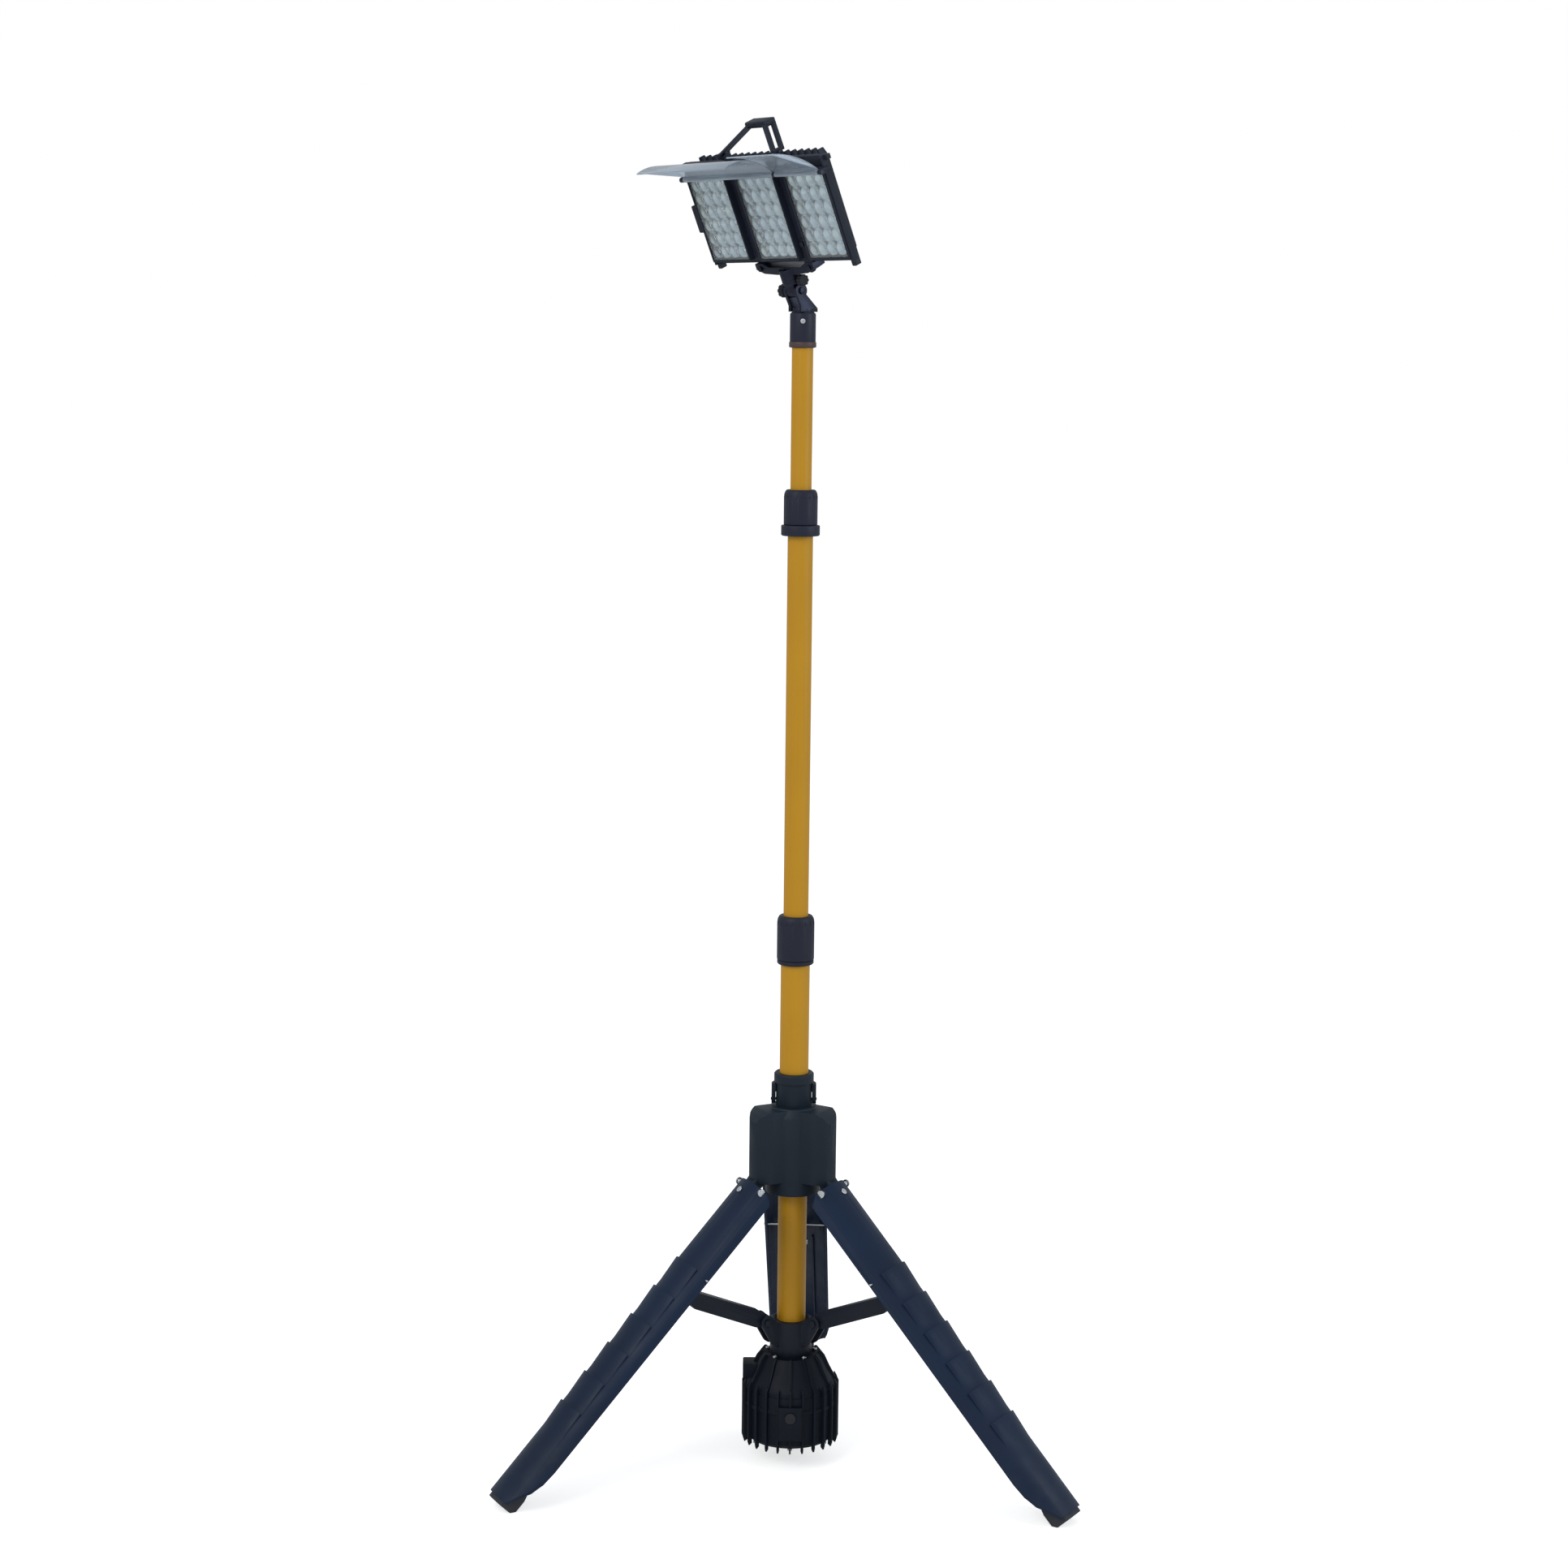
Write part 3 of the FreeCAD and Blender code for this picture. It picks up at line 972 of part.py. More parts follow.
# ---------------------------------------------------------------- build, check and write
make_mast()
make_collar("low", "low_tube_r", "mid_tube_r", "lower")
make_collar("high", "mid_tube_r", "top_tube_r", "upper")
make_lead()
make_socket()
make_hub()
make_legs()
make_struts()
make_bracket()
make_pod()
make_pod_controls()
finish(solid(make_head_frame()), "head_frame", HEAD_PLACE)
finish(solid(make_heat_sink()), "heat_sink", HEAD_PLACE)
make_optics()
make_visors()
make_handle()
make_head_controls()
make_yoke_and_knuckle()
doc.recompute()

faults = [obj.Label for obj in doc.Objects if {"Invalid", "Error"} & set(obj.State)]
for obj in NODES:
    shape = obj.Shape
    if shape.isNull() or not shape.isValid() or not shape.Solids:
        faults.append(obj.Label)
if faults:
    raise RuntimeError(f"failed objects: {faults}")
for obj in NODES:
    obj.Shape.exportStep(f"parts/{obj.Label}.step")
    print(f"{obj.Label:24s} solids {len(obj.Shape.Solids):3d} volume {obj.Shape.Volume / 1000:9.2f} cm3")
print(len(NODES), "nodes")
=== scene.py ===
"""Looks of the tripod work light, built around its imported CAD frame.

Lengths are metres in the row frame: +Z up, floor at z = 0, mast axis on Z, front at -Y.
Every visible piece is either a CAD node with a procedural material, or a finer piece made
here that stands for a CAD node and rides on the same body.
"""
import json
import math

import bmesh
import bpy
from mathutils import Matrix, Vector


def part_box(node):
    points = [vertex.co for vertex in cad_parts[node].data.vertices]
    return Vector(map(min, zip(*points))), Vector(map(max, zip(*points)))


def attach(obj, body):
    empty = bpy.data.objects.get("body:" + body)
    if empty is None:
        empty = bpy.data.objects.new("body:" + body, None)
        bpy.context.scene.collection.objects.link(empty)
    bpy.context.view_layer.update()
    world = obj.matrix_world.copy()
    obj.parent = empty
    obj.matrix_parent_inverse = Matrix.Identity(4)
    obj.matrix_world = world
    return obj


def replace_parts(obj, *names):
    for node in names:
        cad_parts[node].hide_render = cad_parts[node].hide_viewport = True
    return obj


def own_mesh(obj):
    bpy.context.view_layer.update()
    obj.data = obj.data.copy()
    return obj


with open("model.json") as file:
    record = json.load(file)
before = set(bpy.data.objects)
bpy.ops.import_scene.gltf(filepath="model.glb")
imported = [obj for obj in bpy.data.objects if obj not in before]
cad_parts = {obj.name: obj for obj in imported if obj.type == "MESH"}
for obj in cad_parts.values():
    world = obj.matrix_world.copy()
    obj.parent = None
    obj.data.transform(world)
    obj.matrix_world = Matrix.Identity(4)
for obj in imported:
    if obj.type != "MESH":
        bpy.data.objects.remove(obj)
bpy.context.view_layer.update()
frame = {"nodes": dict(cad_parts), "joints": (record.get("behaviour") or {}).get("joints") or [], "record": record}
NODES = frame["nodes"]
JOINTS = {joint["name"]: joint for joint in frame["joints"]}
BODY_OF = {node: body for body, members in frame["record"]["behaviour"]["bodies"].items()
           for node in members}
SLOT_OF = {part["node"]: part["material_slot"] for part in frame["record"]["subparts"]}
MM = 0.001


# ---------------------------------------------------------------- frames of the legs and the head
def joint_axis(name):
    return Vector(JOINTS[name]["axis"]).normalized()


def joint_point(name):
    return Vector(JOINTS[name]["pos_m"])


def axes_matrix(x_axis, y_axis, z_axis, origin):
    matrix = Matrix((x_axis, y_axis, z_axis)).transposed().to_4x4()
    matrix.translation = origin
    return matrix


# Head frame: X across the lamp, Y towards its back, Z up its face.
# Its origin is at the middle of the lenses.
ACROSS, UP = joint_axis("tilt"), joint_axis("swivel")
BACK = UP.cross(ACROSS)
SWIVEL_TO_CENTRE = 91.2 * MM        # along UP, from the swivel joint to the lens centre
SWIVEL_BEHIND_FACE = 9.9 * MM       # the swivel axis lies this far behind the lens faces
HEAD = axes_matrix(ACROSS, BACK, UP,
                   joint_point("swivel") + UP * SWIVEL_TO_CENTRE - BACK * SWIVEL_BEHIND_FACE)

# Leg frame: X out through the crown, Y across the leg, Z back up the leg towards the hub.
SPLAY = math.radians(44.3)
PIVOT_OUT, PIVOT_ALONG = 16 * MM, 17 * MM


def leg_matrix(number):
    joint = f"leg_fold_{number}"
    across = joint_axis(joint)
    outward = across.cross(Vector((0, 0, 1)))
    crown = outward * math.cos(SPLAY) + Vector((0, 0, math.sin(SPLAY)))
    up_leg = -outward * math.sin(SPLAY) + Vector((0, 0, math.cos(SPLAY)))
    origin = joint_point(joint) - crown * PIVOT_OUT + up_leg * PIVOT_ALONG
    return axes_matrix(crown, across, up_leg, origin)


# ---------------------------------------------------------------- node material helpers
MIX_FIRST, MIX_SECOND, MIX_RESULT = 6, 7, 2     # colour sockets of the Mix node
EDGE_SAMPLES = 4
EDGE_NONE, EDGE_FULL = 0.995, 0.90              # cosine between true and rounded normal
NOISE_LOW, NOISE_HIGH = 0.3, 0.7                # where nearly all of a noise lies


class Nodes:
    """Short calls for building one node tree."""

    def __init__(self, material):
        material.use_nodes = True
        self.tree = material.node_tree
        self.tree.nodes.clear()
        self.output = self.make("ShaderNodeOutputMaterial")
        self.shader = self.make("ShaderNodeBsdfPrincipled")
        self.link(self.shader.outputs["BSDF"], self.output.inputs["Surface"])
        self.place = self.make("ShaderNodeTexCoord").outputs["Object"]

    def make(self, kind, **values):
        node = self.tree.nodes.new(kind)
        for name, value in values.items():
            setattr(node, name, value)
        return node

    def link(self, source, target):
        self.tree.links.new(source, target)

    def feed(self, name, source):
        """Join a node's output to a socket of the shader."""
        self.link(source, self.shader.inputs[name])

    def fix(self, name, value):
        """Set a socket of the shader to a value that is the same all over."""
        self.shader.inputs[name].default_value = value

    def stretched(self, scale):
        node = self.make("ShaderNodeMapping")
        self.link(self.place, node.inputs["Vector"])
        node.inputs["Scale"].default_value = scale
        return node.outputs["Vector"]

    def noise(self, scale, detail=3.0, stretch=None):
        node = self.make("ShaderNodeTexNoise")
        self.link(self.stretched(stretch) if stretch else self.place, node.inputs["Vector"])
        node.inputs["Scale"].default_value = scale
        node.inputs["Detail"].default_value = detail
        return node.outputs["Fac"]

    def remap(self, value, low, high, to_low, to_high):
        node = self.make("ShaderNodeMapRange")
        self.link(value, node.inputs["Value"])
        for name, number in (("From Min", low), ("From Max", high),
                             ("To Min", to_low), ("To Max", to_high)):
            node.inputs[name].default_value = number
        return node.outputs["Result"]

    def spread(self, value, to_low=0.0, to_high=1.0):
        """The middle of a noise stretched over a range."""
        return self.remap(value, NOISE_LOW, NOISE_HIGH, to_low, to_high)

    def times(self, first, second):
        node = self.make("ShaderNodeMath", operation="MULTIPLY")
        self.link(first, node.inputs[0])
        self.link(second, node.inputs[1])
        return node.outputs["Value"]

    def mix(self, factor, first, second):
        node = self.make("ShaderNodeMix", data_type="RGBA")
        self.link(factor, node.inputs["Factor"])
        for socket, value in ((node.inputs[MIX_FIRST], first), (node.inputs[MIX_SECOND], second)):
            if isinstance(value, tuple):
                socket.default_value = (*value, 1.0)
            else:
                self.link(value, socket)
        return node.outputs[MIX_RESULT]

    def height(self):
        node = self.make("ShaderNodeSeparateXYZ")
        self.link(self.place, node.inputs["Vector"])
        return node.outputs["Z"]

    def edges(self, radius):
        """1 on sharp convex or concave edges, fading to 0 within the radius."""
        rounded = self.make("ShaderNodeBevel", samples=EDGE_SAMPLES)
        rounded.inputs["Radius"].default_value = radius
        surface = self.make("ShaderNodeNewGeometry").outputs["Normal"]
        dot = self.make("ShaderNodeVectorMath", operation="DOT_PRODUCT")
        self.link(rounded.outputs["Normal"], dot.inputs[0])
        self.link(surface, dot.inputs[1])
        return self.remap(dot.outputs["Value"], EDGE_NONE, EDGE_FULL, 0.0, 1.0)

    def bump(self, height, strength, distance):
        node = self.make("ShaderNodeBump")
        node.inputs["Strength"].default_value = strength
        node.inputs["Distance"].default_value = distance
        self.link(height, node.inputs["Height"])
        self.feed("Normal", node.outputs["Normal"])


def shade(color, factor):
    return tuple(min(1.0, channel * factor) for channel in color)


def mottled(nodes, color, darker, lighter, scale, detail):
    """A colour that drifts slowly between a darker and a lighter tone of itself."""
    cloud = nodes.spread(nodes.noise(scale, detail))
    return nodes.mix(cloud, shade(color, darker), shade(color, lighter))


def moulded_plastic(name, color, rough, grain=1800.0, dust=0.0):
    """Injection-moulded plastic: spark grain, cloudy tint, rubbed edges with a painted highlight, and dust low
    down.
    """
    edge_radius, edge_wear_and_highlight = 1.1 * MM, 1.7
    dust_top, dust_color = 0.16, (0.20, 0.18, 0.15)
    material = bpy.data.materials.new(name)
    nodes = Nodes(material)
    tint = mottled(nodes, color, darker=0.86, lighter=1.14, scale=9.0, detail=4.0)
    wear_and_highlight_patches = nodes.remap(nodes.noise(scale=60.0), 0.35, 0.65, 0.15, 0.8)
    # Edges made lighter in noisy patches: partly rubbed wear, partly a painted highlight.
    tint = nodes.mix(nodes.times(nodes.edges(edge_radius), wear_and_highlight_patches), tint, shade(color, edge_wear_and_highlight))
    if dust:
        low = nodes.remap(nodes.height(), 0.0, dust_top, dust, 0.0)
        patch = nodes.remap(nodes.noise(scale=45.0, detail=6.0), 0.35, 0.7, 0.2, 1.0)
        tint = nodes.mix(nodes.times(low, patch), tint, dust_color)
    nodes.feed("Base Color", tint)
    scuffs = nodes.noise(scale=25.0, detail=5.0)
    nodes.feed("Roughness", nodes.remap(scuffs, 0.3, 0.75, rough - 0.07, rough + 0.08))
    nodes.fix("Specular IOR Level", 0.22)
    nodes.bump(nodes.noise(scale=grain, detail=2.0), strength=0.06, distance=0.4 * MM)
    return material


def powder_coat(name, color, rough):
    """Painted tube: fine orange peel, faint lengthwise slide marks, slightly uneven colour."""
    lengthwise = (420.0, 420.0, 3.0)
    material = bpy.data.materials.new(name)
    nodes = Nodes(material)
    tint = mottled(nodes, color, darker=0.93, lighter=1.06, scale=5.0, detail=3.0)
    streak = nodes.noise(scale=1.0, detail=4.0, stretch=lengthwise)
    marks = nodes.remap(streak, 0.60, 0.72, 0.0, 0.35)
    nodes.feed("Base Color", nodes.mix(marks, tint, shade(color, 0.80)))
    nodes.feed("Roughness", nodes.spread(streak, rough - 0.05, rough + 0.10))
    nodes.fix("Specular IOR Level", 0.35)
    nodes.fix("Coat Weight", 0.05)
    nodes.fix("Coat Roughness", 0.25)
    nodes.bump(nodes.noise(scale=700.0, detail=2.0), strength=0.05, distance=0.5 * MM)
    return material


def worked_metal(name, color, rough, brushing=(60.0, 60.0, 900.0), edge_wear_and_highlight=1.25):
    """Plated, brushed or anodised metal with fine tool marks, and edges painted lighter as wear and as a painted
    highlight.
    """
    edge_radius = 0.8 * MM
    material = bpy.data.materials.new(name)
    nodes = Nodes(material)
    marks = nodes.noise(scale=1.0, detail=3.0, stretch=brushing)
    tint = nodes.mix(nodes.spread(marks), shade(color, 0.88), shade(color, 1.10))
    # Edges painted lighter: partly worn bare metal, partly a painted highlight.
    nodes.feed("Base Color", nodes.mix(nodes.edges(edge_radius), tint, shade(color, edge_wear_and_highlight)))
    nodes.feed("Roughness", nodes.remap(marks, 0.2, 0.8, rough - 0.06, rough + 0.10))
    nodes.fix("Metallic", 1.0)
    nodes.bump(marks, strength=0.04, distance=0.2 * MM)
    return material


def soft_rubber(name, color, dust=0.0):
    """Dull rubber with a fine nap, and dust near the floor."""
    rough = 0.75
    dust_top, dust_color = 0.05, (0.22, 0.20, 0.17)
    material = bpy.data.materials.new(name)
    nodes = Nodes(material)
    tint = mottled(nodes, color, darker=0.80, lighter=1.20, scale=30.0, detail=5.0)
    if dust:
        tint = nodes.mix(nodes.remap(nodes.height(), 0.0, dust_top, dust, 0.0), tint, dust_color)
    nodes.feed("Base Color", tint)
    nodes.feed("Roughness", nodes.spread(nodes.noise(scale=80.0), rough - 0.08, rough + 0.08))
    nodes.fix("Specular IOR Level", 0.3)
    nodes.bump(nodes.noise(scale=1100.0, detail=3.0), strength=0.12, distance=0.5 * MM)
    return material


def clear_plastic(name, color, rough, transmission):
    """Clear or frosted polycarbonate with faint flow marks and hairline scratches."""
    hairlines = (900.0, 60.0, 60.0)
    material = bpy.data.materials.new(name)
    nodes = Nodes(material)
    tint = mottled(nodes, color, darker=0.95, lighter=1.05, scale=18.0, detail=4.0)
    nodes.feed("Base Color", tint)
    scratch = nodes.noise(scale=1.0, detail=3.0, stretch=hairlines)
    nodes.feed("Roughness", nodes.remap(scratch, 0.55, 0.75, rough, rough + 0.12))
    nodes.fix("IOR", 1.49)
    nodes.fix("Transmission Weight", transmission)
    nodes.bump(nodes.noise(scale=70.0, detail=2.0), strength=0.03, distance=0.6 * MM)
    return material


def emitter_phosphor(name):
    """Pale, finely mottled coating of the light emitters."""
    material = bpy.data.materials.new(name)
    nodes = Nodes(material)
    cloud = nodes.spread(nodes.noise(scale=900.0, detail=2.0))
    nodes.feed("Base Color", nodes.mix(cloud, (0.88, 0.91, 0.95), (0.95, 0.97, 1.00)))
    nodes.fix("Roughness", 0.35)
    return material


def board_mask(name, color):
    """Solder mask with the faint relief of its tracks."""
    track_scale = 260.0
    material = bpy.data.materials.new(name)
    nodes = Nodes(material)
    cells = nodes.make("ShaderNodeTexVoronoi", distance="MANHATTAN")
    nodes.link(nodes.place, cells.inputs["Vector"])
    cells.inputs["Scale"].default_value = track_scale
    track = nodes.remap(cells.outputs["Distance"], 0.25, 0.32, 0.0, 1.0)
    nodes.feed("Base Color", nodes.mix(track, shade(color, 0.9), color))
    nodes.fix("Roughness", 0.4)
    nodes.bump(track, strength=0.1, distance=0.1 * MM)
    return material


MATERIALS = {
    "tube_yellow": powder_coat("tube_yellow", (0.500, 0.245, 0.004), 0.48),
    "collar_plastic": moulded_plastic("collar_plastic", (0.016, 0.019, 0.034), 0.50),
    "band_plastic": moulded_plastic("band_plastic", (0.075, 0.048, 0.048), 0.45),
    "guide_plastic": moulded_plastic("guide_plastic", (0.55, 0.55, 0.50), 0.40),
    "hub_plastic": moulded_plastic("hub_plastic", (0.009, 0.016, 0.026), 0.52),
    "leg_plastic": moulded_plastic("leg_plastic", (0.003, 0.013, 0.038), 0.50, dust=0.05),
    "foot_rubber": soft_rubber("foot_rubber", (0.011, 0.017, 0.030), dust=0.15),
    "strut_metal": moulded_plastic("strut_metal", (0.009, 0.012, 0.021), 0.42, grain=900.0),
    "steel": worked_metal("steel", (0.62, 0.63, 0.65), 0.28),
    "pod_plastic": moulded_plastic("pod_plastic", (0.002, 0.005, 0.012), 0.58),
    "seal_rubber": soft_rubber("seal_rubber", (0.010, 0.010, 0.012)),
    "button_rubber": soft_rubber("button_rubber", (0.022, 0.024, 0.030)),
    "inlet_plastic": moulded_plastic("inlet_plastic", (0.012, 0.012, 0.014), 0.30, grain=600.0),
    "cell_metal": moulded_plastic("cell_metal", (0.05, 0.16, 0.34), 0.25, grain=300.0),
    "board_laminate": board_mask("board_laminate", (0.70, 0.74, 0.72)),
    "lead_rubber": soft_rubber("lead_rubber", (0.010, 0.010, 0.010)),
    "neck_metal": worked_metal("neck_metal", (0.030, 0.033, 0.050), 0.42, edge_wear_and_highlight=3.0),
    "knob_plastic": moulded_plastic("knob_plastic", (0.009, 0.010, 0.016), 0.55),
    "head_plastic": moulded_plastic("head_plastic", (0.013, 0.017, 0.030), 0.52),
    "sink_metal": worked_metal("sink_metal", (0.028, 0.032, 0.044), 0.48, edge_wear_and_highlight=2.4),
    "lens_clear": clear_plastic("lens_clear", (0.88, 0.95, 1.00), 0.04, 0.92),
    "visor_clear": clear_plastic("visor_clear", (0.72, 0.82, 0.93), 0.16, 0.74),
}
REFLECTOR = worked_metal("reflector", (0.86, 0.92, 1.00), 0.30,
                         brushing=(80.0, 80.0, 80.0), edge_wear_and_highlight=1.1)
PHOSPHOR = emitter_phosphor("phosphor")


# ---------------------------------------------------------------- piece helpers
SHARP_ANGLE = 35.0          # degrees, above which an edge stays sharp in smooth shading
LEAD_ANGLE = 60.0           # the same, on the round lead
ROUNDED_ANGLE = 32.0        # degrees, above which an edge is rounded off
FLAT_ANGLE = 0.6            # degrees, within which neighbouring faces count as one flat face
JOIN_DISTANCE = 0.002 * MM  # points nearer than this are one point


def add_piece(name, mesh, body, slot, material=None):
    """A new object in the row frame that rides on a body and takes a slot's finish."""
    piece = bpy.data.objects.new(name, mesh)
    bpy.context.scene.collection.objects.link(piece)
    mesh.materials.clear()
    mesh.materials.append(material or MATERIALS[slot])
    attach(piece, body)
    return piece


def smooth(mesh, angle=SHARP_ANGLE):
    """Smooth shading with sharp edges kept above an angle."""
    mesh.polygons.foreach_set("use_smooth", [True] * len(mesh.polygons))
    mesh.set_sharp_from_angle(angle=math.radians(angle))


def bevelled(mesh, width, segments=2):
    """The mesh with its sharp edges rounded, as a new mesh."""
    holder = bpy.data.objects.new("holder", mesh)
    bpy.context.scene.collection.objects.link(holder)
    bevel = holder.modifiers.new("Rounding", "BEVEL")
    bevel.width = width
    bevel.segments = segments
    bevel.limit_method = "ANGLE"
    bevel.angle_limit = math.radians(ROUNDED_ANGLE)
    bevel.miter_outer = "MITER_ARC"
    bpy.context.view_layer.update()
    evaluated = holder.evaluated_get(bpy.context.evaluated_depsgraph_get())
    result = bpy.data.meshes.new_from_object(evaluated)
    bpy.data.objects.remove(holder)
    return result


def clean_copy(node):
    """The CAD node's mesh with doubled points joined and flat regions made into single faces."""
    mesh = NODES[node].data.copy()
    form = bmesh.new()
    form.from_mesh(mesh)
    bmesh.ops.remove_doubles(form, verts=form.verts, dist=JOIN_DISTANCE)
    bmesh.ops.dissolve_limit(form, angle_limit=math.radians(FLAT_ANGLE),
                             verts=form.verts, edges=form.edges)
    form.to_mesh(mesh)
    form.free()
    return mesh


def refine(node, width_mm, segments):
    """A piece that stands for a CAD node, with every sharp edge rounded off."""
    mesh = bevelled(clean_copy(node), width_mm * MM, segments)
    smooth(mesh)
    piece = add_piece(f"{node}_form", mesh, BODY_OF[node], SLOT_OF[node])
    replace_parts(piece, node)


def turns(count):
    """Equal angles round a full circle."""
    return [2 * math.pi * k / count for k in range(count)]


def lathe(points):
    """A closed (radius, height) outline turned about the Z axis."""
    segments = 96
    form = bmesh.new()
    rings = [[form.verts.new((radius * math.cos(turn), radius * math.sin(turn), height))
              for turn in turns(segments)] for radius, height in points]
    for index, ring in enumerate(rings):
        following = rings[(index + 1) % len(rings)]
        for k in range(segments):
            ahead = (k + 1) % segments
            form.faces.new((ring[k], ring[ahead], following[ahead], following[k]))
    bmesh.ops.recalc_face_normals(form, faces=form.faces)
    mesh = bpy.data.meshes.new("lathe")
    form.to_mesh(mesh)
    form.free()
    return mesh


def tube_along(points, radius, sides):
    """A round tube mesh that follows a list of points, none of them straight above the next."""
    form = bmesh.new()
    rings = []
    count = len(points)
    for index, point in enumerate(points):
        ahead = points[min(index + 1, count - 1)] - points[max(index - 1, 0)]
        side = ahead.cross(Vector((0, 0, 1))).normalized()
        lift = side.cross(ahead).normalized()
        rings.append([
            form.verts.new(point + (side * math.cos(turn) + lift * math.sin(turn)) * radius)
            for turn in turns(sides)])
    for first, second in zip(rings, rings[1:]):
        for k in range(sides):
            ahead = (k + 1) % sides
            form.faces.new((first[k], first[ahead], second[ahead], second[k]))
    form.faces.new(rings[0])
    form.faces.new(list(reversed(rings[-1])))
    bmesh.ops.recalc_face_normals(form, faces=form.faces)
    mesh = bpy.data.meshes.new("tube")
    form.to_mesh(mesh)
    form.free()
    smooth(mesh, LEAD_ANGLE)
    return mesh


# ---------------------------------------------------------------- mast
TUBE_WALL, TUBE_LIP = 1.5 * MM, 0.4 * MM
LEAD_RADIUS = 2.1 * MM
COIL_PITCH = 6.2            # lead radii from one turn of the coil to the next


def make_tube(node):
    """A drawn tube with rounded lips."""
    low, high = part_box(node)
    outer = (high.x - low.x) / 2
    inner = outer - TUBE_WALL
    foot, top = low.z, high.z
    mesh = lathe([(inner, foot + TUBE_LIP), (inner + TUBE_LIP, foot),
                  (outer - TUBE_LIP, foot), (outer, foot + TUBE_LIP),
                  (outer, top - TUBE_LIP), (outer - TUBE_LIP, top),
                  (inner + TUBE_LIP, top), (inner, top - TUBE_LIP)])
    smooth(mesh)
    piece = add_piece(f"{node}_drawn", mesh, BODY_OF[node], SLOT_OF[node])
    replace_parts(piece, node)


def make_coil(node):
    """A coil of the inner lead."""
    steps, sides = 20, 8                # points in a turn, and sides of the lead
    low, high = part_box(node)
    coil_r = (high.x - low.x) / 2 - LEAD_RADIUS
    foot = low.z + LEAD_RADIUS
    height = high.z - low.z - 2 * LEAD_RADIUS
    count = int(height / (COIL_PITCH * LEAD_RADIUS)) * steps
    points = []
    for k in range(count + 1):
        turn = 2 * math.pi * k / steps
        points.append(Vector((coil_r * math.cos(turn), coil_r * math.sin(turn),
                              foot + height * k / count)))
    piece = add_piece(f"{node}_turns", tube_along(points, LEAD_RADIUS, sides),
                      BODY_OF[node], SLOT_OF[node])
    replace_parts(piece, node)
    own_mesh(piece)


# ---------------------------------------------------------------- legs
SHELL_R, WALL, CROWN = 54.5 * MM, 3.0 * MM, 27.9 * MM


def make_leg_ribs(number):
    """Two long stiffening webs moulded inside the channel of a leg."""
    half_gap, half_thick, depth = 24 * MM, 1.1 * MM, 4.5 * MM
    start, end = 226 * MM, 492 * MM     # along the leg, from the hub
    sunk = 0.6 * MM                     # how far the webs run into the wall
    rounding = 0.35 * MM
    inner = SHELL_R - WALL + sunk
    top = CROWN - SHELL_R + math.sqrt(inner * inner - half_gap * half_gap)
    form = bmesh.new()
    for sign in (1, -1):
        side = sign * half_gap - half_thick
        near, far = ([form.verts.new((out, across, along)) for out, along in (
            (top, -start), (top - depth, -start), (top - depth, -end), (top, -end))]
            for across in (side, side + 2 * half_thick))
        form.faces.new(near)
        form.faces.new(list(reversed(far)))
        for k in range(4):
            ahead = (k + 1) % 4
            form.faces.new((near[k], far[k], far[ahead], near[ahead]))
    bmesh.ops.recalc_face_normals(form, faces=form.faces)
    mesh = bpy.data.meshes.new("ribs")
    form.to_mesh(mesh)
    form.free()
    mesh = bevelled(mesh, rounding)
    mesh.transform(leg_matrix(number))
    smooth(mesh)
    add_piece(f"leg_ribs_{number}", mesh, f"leg_{number}", "leg_plastic")


# ---------------------------------------------------------------- lamp modules
MODULE_PITCH = 105.5 * MM
LENS_HALF_WIDTH, LENS_HALF_HEIGHT = 39.35 * MM, 61.85 * MM
LENS_COLUMNS, LENS_ROWS = 4, 6
PITCH_X, PITCH_Z = 19.0 * MM, 19.8 * MM
BOARD_FACE = 8.3 * MM       # depth of the emitter board behind the front of the module
MODULE_ANGLE = 40.0         # degrees, above which an edge in a module stays sharp
CORNER_SIGNS = ((-1, -1), (1, -1), (1, 1), (-1, 1))


def lens_centres():
    """Centres of the lens cups of one module, in its own X and Z."""
    return [((column - (LENS_COLUMNS - 1) / 2) * PITCH_X, (row - (LENS_ROWS - 1) / 2) * PITCH_Z)
            for column in range(LENS_COLUMNS) for row in range(LENS_ROWS)]


def ring_points(radius_x, radius_z, depth, centre, count):
    return [Vector((centre[0] + radius_x * math.cos(turn), depth,
                    centre[1] + radius_z * math.sin(turn))) for turn in turns(count)]


def stack(form, rings):
    """Join equal rings of points with quads, and return the last ring."""
    made = [[form.verts.new(point) for point in ring] for ring in rings]
    for first, second in zip(made, made[1:]):
        count = len(first)
        for k in range(count):
            ahead = (k + 1) % count
            form.faces.new((first[k], first[ahead], second[ahead], second[k]))
    return made[-1]


def module_mesh(build, offset):
    """Run a builder in a module's own frame and move the mesh to its place in the head."""
    form = bmesh.new()
    build(form)
    bmesh.ops.recalc_face_normals(form, faces=form.faces)
    mesh = bpy.data.meshes.new("module")
    form.to_mesh(mesh)
    form.free()
    mesh.transform(HEAD @ Matrix.Translation((offset, 0, 0)))
    smooth(mesh, MODULE_ANGLE)
    return mesh


